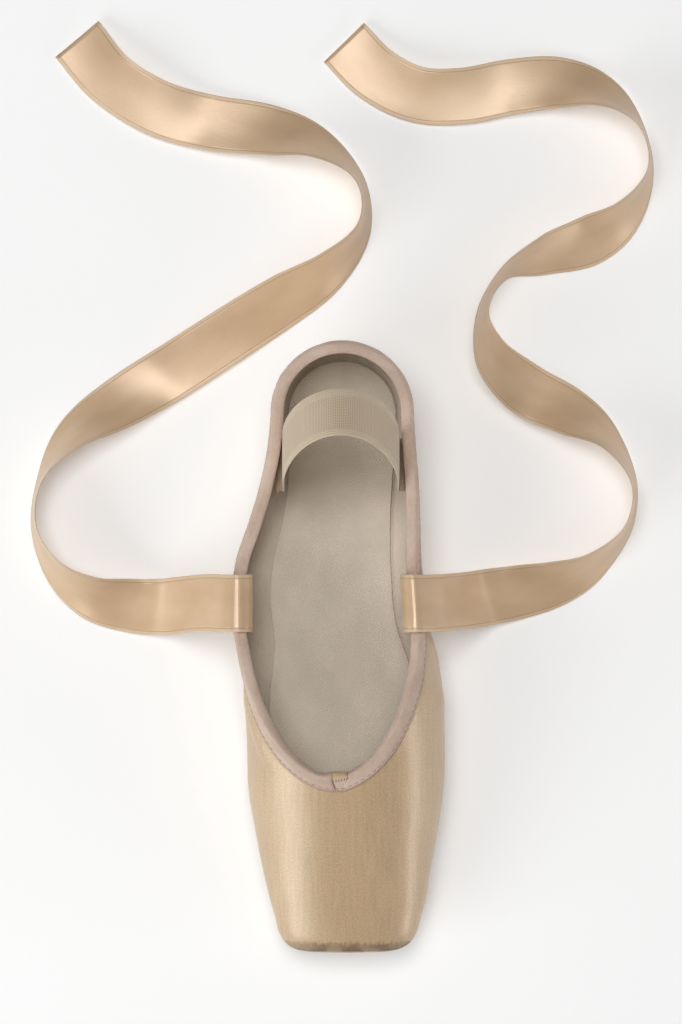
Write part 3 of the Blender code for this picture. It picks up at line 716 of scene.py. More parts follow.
sheet, facings, layouts, sheet_faces, collar_edges = upper_sheet()
facings = meeting(sheet, facings)
places = np.array([tuple(point) for point in sheet])
pushed = pleated(places)
collar_line = [sheet[k] for k in collar_edges[1]] + [sheet[k] for k in collar_edges[-1][::-1]]
from_collar, _ = near_line(places, collar_line[::3])
free = np.clip(from_collar / 0.006 - 0.3, 0, 1)
for side, spots, depth, width in CREASES:
    far, along = near_line(places, drawn_line(side, spots))
    pushed += depth * np.exp(-((far / width) ** 2)) * np.sin(np.pi * (0.08 + 0.84 * along)) * free
for side in (1, -1):
    puckered = np.linalg.norm(places - np.array(surface_spot(side, *PUCKER_SPOT)), axis=1)
    pushed += PUCKER_DEPTH * np.exp(-((puckered / PUCKER_WIDTH) ** 2)) * np.clip(free + 0.4, 0, 1)
for k, place in enumerate(sheet):
    pushed[k] += WAVINESS * noise.noise(place / WAVE_LENGTH) * free[k]

outside = [place + facing * push for place, facing, push in zip(sheet, facings, pushed)]
inside = [place - facing * WALL for place, facing in zip(sheet, facings)]

satin = Finish(
    "satin",
    SATIN,
    0.33,
    more={
        "Metallic": 0.07,
        "Specular IOR Level": 1.0,
        "Specular Tint": (0.97, 1.0, 0.96, 1),
        "Anisotropic": 0.4,
        "Sheen Weight": 0.04,
        "Sheen Roughness": 0.4,
        "Sheen Tint": (1.0, 0.88, 0.72, 1),
    },
)


def satin_weave(cloth, base, shade, pitch=0.00110):
    """The satin: long floats that catch the light, a fine grid, a soft unevenness, painted glints and
    painted shade.
    """
    across, along = cloth.cloth()
    floats = cloth.cloud(cloth.scaled(cloth.laid, (1900, 420, 1)), 1.0, 2.0, 0.6)
    glints = cloth.cloud(cloth.scaled(cloth.laid, (620, 1250, 1)), 1.0, 1.0, 0.5)
    grid_across = cloth.wave(across, pitch)
    slant = cloth.times(cloth.minus(across, along), 0.85)
    grid_along = cloth.wave(slant, pitch)
    grid = cloth.times(grid_across, grid_along)
    broad = cloth.cloud(cloth.scaled(cloth.laid, (55, 30, 1)), 1.0, 3.0, 0.55)
    tone = cloth.fade(broad, 0.3, 0.75)
    colour = cloth.blend(tone, tinted(shade), tinted(base))
    speckle = cloth.cloud(cloth.scaled(cloth.laid, (1700, 1350, 1)), 1.0, 1.0, 0.5)
    runs = cloth.cloud(cloth.scaled(cloth.laid, (700, 70, 1)), 1.0, 2.0, 0.5)
    twill = cloth.wave(slant, pitch)
    # Painted twill glints: the twill's light and dark lines are painted strongly on the medial side only,
    # faintly elsewhere.
    twill_glint_side = cloth.fade(across, 0.012, 0.022, 0.12, 1.0)
    # Painted glints: lighter specks, runs along the floats and twill lines, mixed towards a lighter copy of
    # the satin.
    painted_glints = cloth.plus(cloth.fade(speckle, 0.42, 0.72), cloth.fade(runs, 0.4, 0.75, 0.0, 0.6))
    painted_glints = cloth.plus(painted_glints, cloth.times(cloth.fade(twill, 0.0, 1.0, 0.0, 0.7), twill_glint_side))
    # Painted shade: darker specks, runs and twill lines, mixed towards a darker copy of the shade colour.
    dark = cloth.plus(cloth.fade(speckle, 0.52, 0.28), cloth.fade(runs, 0.5, 0.25, 0.0, 0.5))
    dark = cloth.plus(dark, cloth.times(cloth.fade(twill, 0.0, -1.0, 0.0, 0.7), twill_glint_side))
    colour = cloth.blend(cloth.times(painted_glints, 0.25), colour, tinted(base, 1.45))
    colour = cloth.blend(cloth.times(dark, 0.20), colour, tinted(shade, 0.60))
    height = cloth.plus(cloth.times(floats, 0.9), cloth.times(grid, 0.14))
    height = cloth.plus(height, cloth.times(glints, 0.5))
    bump = cloth.raised(height, 0.16, 0.00016)
    rough = cloth.plus(0.22, cloth.times(glints, 0.24))
    tangent = cloth.node("Tangent", {}, direction_type="UV_MAP", uv_map="cloth").outputs[0]
    cloth.put(cloth.shader, {"Tangent": tangent})
    return colour, bump, rough


shade = tuple(0.5 * (a + b) for a, b in zip(SATIN, SATIN_SHADE))
colour, bump, rough = satin_weave(satin, SATIN, shade)
x, y, z = satin.place()
from_tip = satin.minus(y, TOE)
frayed = satin.cloud(satin.scaled(satin.spot, (900, 330, 700)), 1.0, 4.0, 0.7)
patches = satin.cloud(satin.scaled(satin.spot, (150, 40, 110)), 1.0, 3.0, 0.6)
reach = satin.plus(0.0020, satin.times(frayed, 0.0054))
worn = satin.fade(satin.minus(reach, from_tip), 0.0, 0.0020)
worn = satin.times(worn, satin.fade(patches, 0.30, 0.55, 0.50, 1.0))
worn = satin.times(worn, satin.fade(x, -0.013, -0.004, 0.45, 1.0))
colour = satin.blend(satin.sum("POWER", worn, 0.7), colour, tinted(SATIN_WORN))
grimy = satin.fade(satin.minus(satin.times(frayed, 0.0046), from_tip), 0.0004, 0.0015)
grimy = satin.times(grimy, satin.fade(patches, 0.40, 0.56, 0.35, 1.0))
colour = satin.blend(satin.times(grimy, 0.8), colour, tinted(SATIN_GRIME))
# Darker towards the bottom, from 10 mm above the floor down, in frayed streaks.
darker_low = satin.fade(z, 0.010, 0.004, 0.0, 0.35)
colour = satin.blend(satin.times(darker_low, frayed), colour, tinted(SATIN_WORN))
rough = satin.plus(rough, satin.times(worn, 0.35))
face_on = satin.fade(from_tip, 0.0010, 0.0001)
scuffed = satin.cloud(satin.scaled(satin.spot, (150, 10, 260)), 1.0, 4.0, 0.65)
bare = satin.times(face_on, satin.fade(scuffed, 0.30, 0.66, 0.25, 0.90))
colour = satin.blend(bare, colour, tinted(SATIN))
side_line = satin.minus(y, satin.plus(SIDE_SEAM_FOOT, satin.times(z, SIDE_SEAM_SLOPE)))
on_side = satin.fade(satin.sum("ABSOLUTE", x), 0.012, 0.016)
back_line = satin.minus(x, BACK_SEAM_X)
on_back = satin.fade(y, 0.085, 0.095)
apart = satin.sum(
    "MINIMUM",
    satin.plus(satin.sum("ABSOLUTE", side_line), satin.fade(on_side, 0.0, 1.0, 0.01, 0.0)),
    satin.plus(satin.sum("ABSOLUTE", back_line), satin.fade(on_back, 0.0, 1.0, 0.01, 0.0)),
)
tucks = satin.cloud(satin.scaled(satin.spot, (260, 260, 420)), 1.0, 1.0, 0.5)
seam = satin.fade(apart, 0.00045, 0.00010)
pressed = satin.fade(apart, 0.0022, 0.0004)
colour = satin.blend(satin.times(seam, 0.7), colour, tinted(SATIN_WORN))
drawn_in = satin.plus(satin.times(seam, -1.0), satin.times(pressed, tucks))
bump = satin.raised(drawn_in, 0.6, 0.0007, bump)
satin.put(satin.shader, {"Base Color": colour, "Normal": bump, "Roughness": rough})

canvas = Finish("lining", LINING, 0.85, more={"Sheen Weight": 0.15, "Specular IOR Level": 0.25})


def plain_weave(cloth, base, soiled, pitch, depth):
    """A plain weave: threads over and under each other, slubs, and a soft soiling."""
    across, along = cloth.cloth()
    warp = cloth.wave(across, pitch)
    weft = cloth.wave(along, pitch)
    woven = cloth.times(warp, weft)
    slubs = cloth.cloud(cloth.scaled(cloth.laid, (900, 900, 1)), 1.0, 2.0)
    soil = cloth.cloud(cloth.scaled(cloth.laid, (45, 30, 1)), 1.0, 3.0, 0.6)
    height = cloth.plus(woven, slubs)
    colour = cloth.blend(cloth.fade(soil, 0.3, 0.75), tinted(base, soiled), tinted(base))
    colour = cloth.blend(cloth.fade(woven, -1.0, 1.0, 0.18, 0.0), colour, tinted(base, 0.6))
    return colour, cloth.raised(height, 0.6, depth)


colour, bump = plain_weave(canvas, LINING, 0.84, 0.0011, 0.00012)
canvas.put(canvas.shader, {"Base Color": colour, "Normal": bump})

upper = wall_of("upper_satin", outside, sheet_faces, inside, layouts, [satin.made, canvas.made])
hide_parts("upper")
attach(upper, "root")

# The binding: a casing of bias-cut cotton folded over the collar's raw edge, with the drawstring inside, and
# sewn along its outer edge with one row of rose thread. Its two ends meet at the middle of the throat.
BINDING_WIDTH = 0.006
OUTER_FLAP = 0.0042
BINDING_THICK = 0.0008
CASING_FIT = 0.0004
SLIT = 0.00028
SLIT_LEAN = 0.0015
TAB_WIDTH = 0.0062
TAB_RISE = 0.0015
TAB_BULGE = 0.0002
CRESCENT = 0.0019
END_LIFT = 0.006
TAB_STEPS = 9
SLANT = 0.0056
SLANT_FADE = 0.012
BINDING_STEP = 0.0012
COLLAR_STEP = 0.0008
FLAP_DEPTHS = (1.0, 0.94, 0.85, 0.74, 0.62, 0.50, 0.38, 0.26, 0.13)
FOLD_ANGLES = range(0, 181, 20)
DRAWSTRING_BULGE = 0.00042
DRAWSTRING_DEPTH = 0.0017
DRAWSTRING_HALF = 0.0011
HEM_LIFT = 0.00012
PUCKER_PITCH = 0.0045
STITCH_DEPTH = 0.0033
STITCH_PITCH = 0.0027
STITCH_LENGTH = 0.0017
THREAD = 0.00036
CASING = (0.680, 0.525, 0.430)
CASING_SHADE = (0.560, 0.405, 0.315)
ROSE_THREAD = (0.58, 0.35, 0.29)

outer_surface = BVHTree.FromPolygons([tuple(p) for p in outside], sheet_faces)
inner_surface = BVHTree.FromPolygons([tuple(p) for p in inside], [face[::-1] for face in sheet_faces])
edge_order = collar_edges[1] + collar_edges[-1][-2::-1]
edge_points = [outside[k] for k in edge_order]
edge_facings = [facings[k] for k in edge_order]
edge_walked = np.append(0, np.cumsum([(b - a).length for a, b in zip(edge_points, edge_points[1:])]))
edge_table = np.array([(*point, *facing) for point, facing in zip(edge_points, edge_facings)])


def on_collar(distance):
    """The collar's edge at a distance from the throat: its place, way along, outward and upward."""
    steps = (-COLLAR_STEP, 0.0, COLLAR_STEP)
    near = [np.interp(distance + step, edge_walked, column) for step in steps for column in edge_table.T]
    before, here, after = Vector(near[:3]), Vector(near[6:9]), Vector(near[12:15])
    facing = Vector(near[9:12]).normalized()
    way = (after - before).normalized()
    return here, way, facing, facing.cross(way).normalized()


def flap_spot(surface, start, up, depth, off):
    place, facing, _, _ = surface.find_nearest(start - up * depth)
    return place + facing * off


def casing_ring(distance, slant=0.0, rise=0.0, bulge=DRAWSTRING_BULGE):
    """The casing's outline, from its outer hem over the collar's edge to its inner hem and back inside."""
    edge, way, facing, up = on_collar(distance)
    rim = edge - facing * WALL
    pucker = noise.noise(Vector((distance / PUCKER_PITCH, 0.0, 3.0)))
    rings = []
    for far, swell in ((CASING_FIT + BINDING_THICK, bulge), (CASING_FIT, 0.0)):
        ring = []
        for share in FLAP_DEPTHS:
            depth = OUTER_FLAP * share
            off_string = (depth - DRAWSTRING_DEPTH) / DRAWSTRING_HALF
            full = swell * (1 + 0.5 * pucker) * math.exp(-(off_string**2))
            hem = HEM_LIFT * (1 + pucker) if share > 0.9 and swell else 0.0
            slid = edge - way * slant * share
            ring.append(flap_spot(outer_surface, slid, up, depth, far + full + hem))
        for angle in FOLD_ANGLES:
            turn = math.radians(angle)
            out = (WALL / 2 + far) * math.copysign(abs(math.cos(turn)) ** 0.8, math.cos(turn))
            lift = (far + rise + swell * 0.35 * pucker) * math.sin(turn) ** 0.8
            ring.append((edge + rim) / 2 + facing * out + up * lift)
        for share in FLAP_DEPTHS[::-1]:
            ring.append(flap_spot(inner_surface, rim, up, BINDING_WIDTH * share, far))
        rings.append(ring)
    return rings[0] + rings[1][::-1]


fold_half = WALL / 2 + BINDING_THICK
casing_across = [-fold_half - OUTER_FLAP * share for share in FLAP_DEPTHS]
casing_across += [-fold_half * math.cos(math.radians(angle)) for angle in FOLD_ANGLES]
casing_across += [fold_half + BINDING_WIDTH * share for share in FLAP_DEPTHS[::-1]]
casing_across += casing_across[::-1]


def swept(name, rings, across, along, paint):
    """A closed outline carried along and capped at both ends. across, along: its cloth directions."""
    count = len(rings[0])
    faces = []
    for i in range(len(rings) - 1):
        for j in range(count):
            a, b = i * count + j, i * count + (j + 1) % count
            faces.append((a, b, b + count, a + count))
    for first in (0, (len(rings) - 1) * count):
        for j in range(count // 2 - 1):
            faces.append((first + j, first + j + 1, first + count - 2 - j, first + count - 1 - j))
    points = [point for ring in rings for point in ring]
    return piece_of(name, points, faces, [(u, v) for v in along for u in across], [paint])


casing_end = edge_walked[-1] - SLIT / 2
casing_start = TAB_WIDTH + SLIT / 4
casing_count = round((casing_end - casing_start) / BINDING_STEP)
casing_places = [float(place) for place in np.linspace(casing_start, casing_end, casing_count)]


def slanted(distance):
    """How far the outer hem leans sideways: the slit leans, and the medial end is folded on a slant."""
    to_end = edge_walked[-1] - distance
    lean = SLIT_LEAN * (max(0.0, 1 - distance / SLANT_FADE) ** 2 + max(0.0, 1 - to_end / SLANT_FADE) ** 2)
    if distance < TAB_WIDTH:
        return SLANT * distance / TAB_WIDTH - SLIT_LEAN
    return SLANT * max(0.0, 1 - (distance - TAB_WIDTH) / SLANT_FADE) ** 2 - lean


def casing_cloth(name):
    """Bias-cut cotton twill: slanting ribs, a little fluff, and a darker outer hem."""
    gloss = {"Sheen Weight": 0.2, "Sheen Roughness": 0.5, "Specular IOR Level": 0.35}
    cloth = Finish(name, CASING, 0.7, more=gloss)
    across, along = cloth.cloth()
    slope = cloth.plus(along, cloth.times(across, 0.9))
    rib = cloth.wave(slope, 0.00105)
    counter = cloth.minus(along, across)
    cross_rib = cloth.wave(counter, 0.0006)
    fibres = cloth.cloud(cloth.scaled(cloth.laid, (1500, 700, 1)), 1.0, 3.0, 0.6)
    soil = cloth.cloud(cloth.scaled(cloth.laid, (160, 60, 1)), 1.0, 3.0, 0.6)
    tone = cloth.plus(cloth.fade(soil, 0.3, 0.7, 0.0, 0.88), cloth.fade(rib, -1, 1, 0.0, 0.12))
    colour = cloth.blend(tone, tinted(CASING_SHADE), tinted(CASING))
    colour = cloth.blend(cloth.fade(fibres, 0.5, 0.8, 0.0, 0.3), colour, tinted(CASING, 1.3))
    # Darker along the outer hem, over its last 0.9 mm.
    hem = cloth.fade(across, -fold_half - OUTER_FLAP + 0.0009, -fold_half - OUTER_FLAP, 0.0, 0.5)
    colour = cloth.blend(hem, colour, tinted(CASING_SHADE, 0.55))
    height = cloth.plus(cloth.times(rib, 0.45), cloth.times(cross_rib, 0.25))
    height = cloth.plus(height, fibres)
    cloth.put(cloth.shader, {"Base Color": colour, "Normal": cloth.raised(height, 0.55, 0.00016)})
    return cloth, across, along


casing = casing_cloth("casing")[0]

binding_rings = []
for place in casing_places:
    lifted = max(0.0, 1 - (casing_end - place) / END_LIFT) ** 1.3
    binding_rings.append(casing_ring(place, slanted(place), TAB_RISE * lifted))
binding = swept("binding_casing", binding_rings, casing_across, casing_places, casing.made)
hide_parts("binding")
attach(binding, "root")

tab_places = [float(place) for place in np.linspace(SLIT / 2, TAB_WIDTH - SLIT / 4, TAB_STEPS)]
tab_rings = []
for place in tab_places:
    humped = 1 - (place / TAB_WIDTH) ** 3
    tab_rings.append(casing_ring(place, slanted(place), TAB_RISE * humped, TAB_BULGE))
tab_cloth, across, along = casing_cloth("tab_cloth")
crescent = tab_cloth.fade(across, -CRESCENT, -CRESCENT + 0.0003)
row = tab_cloth.sum("ABSOLUTE", tab_cloth.plus(across, CRESCENT + 0.0002))
dots = tab_cloth.fade(tab_cloth.wave(along, 0.0011), -0.2, 0.5)
dots = tab_cloth.times(tab_cloth.fade(row, 0.0004, 0.0002), dots)
colour = tab_cloth.blend(crescent, tab_cloth.shader.inputs["Base Color"].links[0].from_socket, tinted(SATIN))
colour = tab_cloth.blend(tab_cloth.times(dots, 0.8), colour, tinted(SATIN_GRIME))
tab_cloth.put(tab_cloth.shader, {"Base Color": colour})
tab = swept("drawstring_fold", tab_rings, casing_across, tab_places, tab_cloth.made)
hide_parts("drawstring_tab")
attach(tab, "root")


def thread_of(name, colour, rough=0.6, sheen=0.2, fibres=2600, dark=0.6):
    """Spun thread: fine fibres, darker between them."""
    thread = Finish(name, colour, rough, {"Sheen Weight": sheen})
    thread.place()
    ply = thread.cloud(thread.scaled(thread.spot, (fibres,) * 3), 1.0, 2.0)
    tint = thread.blend(thread.fade(ply, 0.3, 0.7), tinted(colour, dark), tinted(colour))
    thread.put(thread.shader, {"Base Color": tint, "Normal": thread.raised(ply, 0.5, 0.0001)})
    return thread.made


rose = thread_of("rose_thread", ROSE_THREAD)


def stitching_tree():
    """Geometry nodes that set a short round stitch at each pitch along a line, laid its own way."""
    tree = bpy.data.node_groups.new("stitching", "GeometryNodeTree")
    sockets = (("Line", "Geometry"), ("Pitch", "Float"), ("Length", "Float"), ("Thickness", "Float"))
    for label, kind in sockets + (("Thread", "Material"),):
        tree.interface.new_socket(label, in_out="INPUT", socket_type="NodeSocket" + kind)
    tree.interface.new_socket("Stitches", in_out="OUTPUT", socket_type="NodeSocketGeometry")

    def node(kind, **settings):
        made = tree.nodes.new(kind)
        for key, value in settings.items():
            setattr(made, key, value)
        return made

    given, out = node("NodeGroupInput"), node("NodeGroupOutput")
    curve = node("GeometryNodeMeshToCurve")
    spaced = node("GeometryNodeResampleCurve", mode="LENGTH")
    bead = node("GeometryNodeMeshUVSphere")
    bead.inputs["Segments"].default_value = 8
    bead.inputs["Rings"].default_value = 6
    bead.inputs["Radius"].default_value = 0.5
    way = node("GeometryNodeInputNamedAttribute", data_type="FLOAT_VECTOR")
    way.inputs["Name"].default_value = "way"
    turned = node("FunctionNodeAlignRotationToVector", axis="Z")
    drawn = node("FunctionNodeRandomValue", data_type="FLOAT")
    drawn.inputs[2].default_value = 0.85
    drawn.inputs[3].default_value = 1.1
    drawn.inputs["Seed"].default_value = 5
    longer = node("ShaderNodeMath", operation="MULTIPLY")
    size = node("ShaderNodeCombineXYZ")
    placed = node("GeometryNodeInstanceOnPoints")
    real = node("GeometryNodeRealizeInstances")
    dyed = node("GeometryNodeSetMaterial")
    for source, target in (
        (given.outputs["Line"], curve.inputs["Mesh"]),
        (curve.outputs["Curve"], spaced.inputs["Curve"]),
        (given.outputs["Pitch"], spaced.inputs["Length"]),
        (spaced.outputs["Curve"], placed.inputs["Points"]),
        (bead.outputs["Mesh"], placed.inputs["Instance"]),
        (way.outputs["Attribute"], turned.inputs["Vector"]),
        (turned.outputs["Rotation"], placed.inputs["Rotation"]),
        (given.outputs["Length"], longer.inputs[0]),
        (drawn.outputs[1], longer.inputs[1]),
        (given.outputs["Thickness"], size.inputs["X"]),
        (given.outputs["Thickness"], size.inputs["Y"]),
        (longer.outputs[0], size.inputs["Z"]),
        (size.outputs[0], placed.inputs["Scale"]),
        (placed.outputs["Instances"], real.inputs["Geometry"]),
        (real.outputs["Geometry"], dyed.inputs["Geometry"]),
        (given.outputs["Thread"], dyed.inputs["Material"]),
        (dyed.outputs["Geometry"], out.inputs["Stitches"]),
    ):
        tree.links.new(source, target)
    return tree


stitching = stitching_tree()


def stitches(name, line, ways, pitch, length, thickness, paint):
    """A row of stitches along a line of points, each stitch laid along its own way."""
    mesh = bpy.data.meshes.new(name + "_line")
    mesh.from_pydata([tuple(place) for place in line], [(k, k + 1) for k in range(len(line) - 1)], [])
    laid = mesh.attributes.new("way", "FLOAT_VECTOR", "POINT")
    laid.data.foreach_set("vector", [value for way in ways for value in way])
    row = bpy.data.objects.new(name + "_row", mesh)
    bpy.context.scene.collection.objects.link(row)
    worker = row.modifiers.new("stitching", "NODES")
    worker.node_group = stitching
    wanted = {"Pitch": pitch, "Length": length, "Thickness": thickness, "Thread": paint}
    for socket in stitching.interface.items_tree:
        if socket.in_out == "INPUT" and socket.name in wanted:
            worker[socket.identifier] = wanted[socket.name]
    evaluated = row.evaluated_get(bpy.context.evaluated_depsgraph_get())
    sewn = bpy.data.meshes.new_from_object(evaluated)
    sewn.name = name
    sewn.polygons.foreach_set("use_smooth", [True] * len(sewn.polygons))
    bpy.data.objects.remove(row)
    made = bpy.data.objects.new(name, sewn)
    bpy.context.scene.collection.objects.link(made)
    return made


def ways_of(line):
    """The way along a line at each of its points."""
    return [(line[min(k + 1, len(line) - 1)] - line[max(k - 1, 0)]).normalized() for k in range(len(line))]


hem_places = [SLIT * 2 + 0.001 * k for k in range(int((casing_end - SLIT * 3) / 0.001))]
hem_line = []
for distance in hem_places:
    edge, way, facing, up = on_collar(distance)
    off = CASING_FIT + BINDING_THICK + THREAD * 0.25
    hem_line.append(flap_spot(outer_surface, edge - way * slanted(distance) * 0.75, up, STITCH_DEPTH, off))
hem_stitches = stitches(
    "hem_stitches", hem_line, ways_of(hem_line), STITCH_PITCH, STITCH_LENGTH, THREAD, rose
)
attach(hem_stitches, "root")

# The insole: a board under a glued cotton sock, cut a little smaller than the last and laid on the turned-in
# lip. A foot hides it in use, so it is finished plainly: woven cotton with a soft, slightly soiled nap.
INSOLE_SHARE = (
    # station, insole
    (0.055, 0.40),
    (0.085, 0.66),
    (0.125, 0.76),
    (0.290, 0.80),
    (0.413, 0.76),
    (0.545, 0.64),
    (0.700, 0.64),
    (0.830, 0.72),
    (0.885, 0.76),
    (1.000, 0.76),
)
UNDER_REACH = 1.05
INSOLE_START = 0.066
INSOLE_SKIVE = 0.45
PLATE_STEPS = 90
PLATE_ACROSS = (0.0, 0.15, 0.3, 0.45, 0.6, 0.72, 0.82, 0.9, 0.95, 0.98, 1.0)
PLATE_HEEL = 20
SOCK = (0.82, 0.72, 0.60)
BOARD = (0.40, 0.31, 0.23)


def plate(name, start, half, bottom, top, paints):
    """A sole or an insole: half, bottom and top are its sizes at a section, a side and a share across."""
    shares = [start + (HEEL_SHARE - start) * (k / PLATE_STEPS) ** 1.7 for k in range(PLATE_STEPS)]
    shares += [HEEL_SHARE + (1 - HEEL_SHARE) * k / PLATE_HEEL for k in range(PLATE_HEEL + 1)]
    points, partners, faces, laid = [], [], [], []
    width = len(PLATE_ACROSS)
    for side in (1, -1):
        first = len(points)
        for share in shares:
            section = Section(share)
            for part in PLATE_ACROSS:
                out = part * half(section, side)
                points.append(section.world(side, out, top(section, side, out, part)))
                partners.append(section.world(side, out, bottom(section, side, out, part)))
                laid.append((side * out, share * LENGTH))
        for i in range(len(shares) - 1):
            for j in range(width - 1):
                a = first + i * width + j
                faces.append((a, a + width, a + width + 1, a + 1))
    return wall_of(name, points, faces, partners, laid, paints)


def insole_under(section, side, out):
    return section.under_at(side, out * UNDER_REACH) + WALL + FIT


nap = {"Sheen Weight": 0.25, "Sheen Roughness": 0.5, "Specular IOR Level": 0.25}
sock = Finish("sock", SOCK, 0.88, nap)
colour, bump = plain_weave(sock, SOCK, 0.86, 0.0010, 0.00014)
sock.put(sock.shader, {"Base Color": colour, "Normal": bump})
board = Finish("board", BOARD, 0.9)
colour, bump = plain_weave(board, BOARD, 0.7, 0.0004, 0.00005)
board.put(board.shader, {"Base Color": colour, "Normal": bump})


def insole_over(section, side, out, part):
    return insole_under(section, side, out) + INSOLE_THICK * (1 - INSOLE_SKIVE * part**16)


insole = plate(
    "insole_sock",
    INSOLE_START,
    lambda section, side: section.halves[side] * smooth(INSOLE_SHARE, 1, section.share),
    lambda section, side, out, part: insole_under(section, side, out),
    insole_over,
    [sock.made, board.made],
)
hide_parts("insole")
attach(insole, "root")

# The outsole: one narrow piece of split leather, skived thin at the rim, glued over the pleats and the lip
# and sewn down in a cut channel. Its flat ground side is scuffed under the ball and the heel.
SOLE_SKIVE = 0.0009
SOLE_ROUND = 0.0004
CHANNEL_INSET = 0.0034
CHANNEL_START = 0.075
CHANNEL_FRONT = 0.0705
SOLE_STITCH = 0.0030
SOLE_PITCH = 0.0040
SOLE_THREAD = 0.0007
LEATHER = (0.330, 0.225, 0.140)
LEATHER_RUBBED = (0.520, 0.420, 0.320)
LEATHER_DIRT = (0.090, 0.065, 0.045)
LINEN = (0.62, 0.52, 0.40)

hide = Finish("hide", LEATHER, 0.7, more={"Specular IOR Level": 0.3})
x, y, z = hide.place()
pores = hide.node("TexVoronoi", {"Vector": hide.spot, "Scale": 900.0}, feature="DISTANCE_TO_EDGE").outputs[0]
nap = hide.cloud(hide.scaled(hide.spot, (1600, 700, 900)), 1.0, 4.0, 0.65)
tone = hide.cloud(hide.scaled(hide.spot, (38, 22, 30)), 1.0, 4.0, 0.6)
colour = hide.blend(hide.fade(tone, 0.3, 0.7), tinted(LEATHER, 0.74), tinted(LEATHER))
colour = hide.blend(hide.times(nap, 0.35), colour, tinted(LEATHER_RUBBED))
scratches = hide.cloud(hide.scaled(hide.spot, (700, 60, 60)), 1.0, 3.0, 0.7)
rubbing = hide.times(hide.fade(z, 0.0016, 0.0002), hide.fade(scratches, 0.50, 0.68))
colour = hide.blend(hide.times(rubbing, 0.7), colour, tinted(LEATHER_RUBBED))
grime = hide.times(hide.fade(tone, 0.52, 0.34), hide.fade(scratches, 0.48, 0.36, 0.0, 0.65))
colour = hide.blend(grime, colour, tinted(LEATHER_DIRT))
height = hide.plus(hide.times(pores, 2.0), nap)
hide.put(hide.shader, {"Base Color": colour, "Normal": hide.raised(height, 0.5, 0.00018)})
outsole = plate(
    "outsole_leather",
    SOLE_START,
    lambda section, side: BALL_HALF * smooth(SOLE_HALF, 1, section.share),
    lambda section, side, out, part: section.lift + SOLE_SKIVE * part**12,
    lambda section, side, out, part: section.lift + SOLE_THICK - SOLE_ROUND * part**14,
    [hide.made],
)
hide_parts("outsole")
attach(outsole, "root")

linen = thread_of("linen_thread", LINEN, 0.75, 0.0, 2000, 0.55)
channel = []
channel_shares = [CHANNEL_START + (1 - CHANNEL_START) * k / 160 for k in range(161)]
for side, order in ((-1, channel_shares), (1, channel_shares[::-1])):
    for share in order:
        section = Section(share)
        half = BALL_HALF * smooth(SOLE_HALF, 1, share) - CHANNEL_INSET
        channel.append(section.world(side, half, section.lift + SOLE_THREAD * 0.1))
for k in range(1, 24):
    part = 1 - k / 12
    section = Section(CHANNEL_FRONT + (CHANNEL_START - CHANNEL_FRONT) * part**4)
    half = BALL_HALF * smooth(SOLE_HALF, 1, CHANNEL_START) - CHANNEL_INSET
    channel.append(section.world(1, half * part, section.lift + SOLE_THREAD * 0.1))
channel.append(channel[0])
sole_stitches = stitches(
    "sole_stitches", channel, ways_of(channel), SOLE_PITCH, SOLE_STITCH, SOLE_THREAD, linen
)
for vertex in sole_stitches.data.vertices:
    vertex.co.z = max(0.0, vertex.co.z)
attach(sole_stitches, "root")

# The heel's elastic: a woven mesh band with a close border along both edges, sewn inside the two sides of
# the heel so that it stands in an arch and holds the shoe on the ankle.
ELASTIC_SHARE = 0.80
ELASTIC_WIDTH = 0.020
ELASTIC_THICK = 0.0008
ELASTIC_RISE = 0.034
ELASTIC_LEAN = 0.019
SEWN_DEPTH = 0.016
SEAM_SLACK = 0.0012
BAND_STEP = 0.0013
BAND_ACROSS = 17
SEWN_FREE = 0.0090
SEWN_FADE = 0.0035
SEWN_REST = 0.00075
WHIP_PITCH = 0.0019
WHIP_LENGTH = 0.0019
WHIP_THREAD = 0.00045
BORDER = 0.0030
NET_PITCH = 0.00135
PEACH_THREAD = (0.66, 0.44, 0.28)
MESH_BAND = (0.680, 0.550, 0.400)
MESH_HOLES = (0.380, 0.275, 0.180)


def along_line(places, step):
    """Points about step apart on a smooth line through places, with the other columns carried along."""
    rows = np.array(places, float)
    rows = np.vstack([2 * rows[0] - rows[1], rows, 2 * rows[-1] - rows[-2]])
    fine = []
    for k in range(1, len(rows) - 2):
        a, b, c, d = rows[k - 1 : k + 3]
        for t in np.arange(0, 1, 0.05):
            curve = 2 * b + (c - a) * t + (2 * a - 5 * b + 4 * c - d) * t**2
            fine.append(0.5 * (curve + (3 * b - a - 3 * c + d) * t**3))
    fine.append(rows[-2])
    fine = np.array(fine)
    walked = np.append(0, np.cumsum(np.linalg.norm(np.diff(fine[:, :3], axis=0), axis=1)))
    count = max(2, round(walked[-1] / step)) + 1
    spaced = np.linspace(0, walked[-1], count)
    return np.column_stack([np.interp(spaced, walked, column) for column in fine.T])


def band(name, middles, acrosses, width, thickness, count, paint, shaped=None):
    """A band of cloth along middles. shaped: how far a place along and across is raised from flat."""
    ways = ways_of(middles)
    along = np.append(0, np.cumsum([(b - a).length for a, b in zip(middles, middles[1:])]))
    parts = [-math.cos(math.pi * k / (count - 1)) / 2 for k in range(count)]
    rings = []
    for k, (middle, across, way) in enumerate(zip(middles, acrosses, ways)):
        facing = across.cross(way).normalized()
        front, back = [], []
        for part in parts:
            lift = shaped(along[k], part) if shaped else 0.0
            place = middle + across * width * part + facing * lift
            half = thickness / 2 * (1 - (2 * part) ** 8 * 0.5)
            front.append(place + facing * half)
            back.append(place - facing * half)
        rings.append(front + back[::-1])
    across_cloth = [width * part for part in parts + parts[::-1]]
    return swept(name, rings, across_cloth, [float(value) for value in along], paint)


def edge_spot(section, side):
    return section.at(side, section.turns(side)[-1])


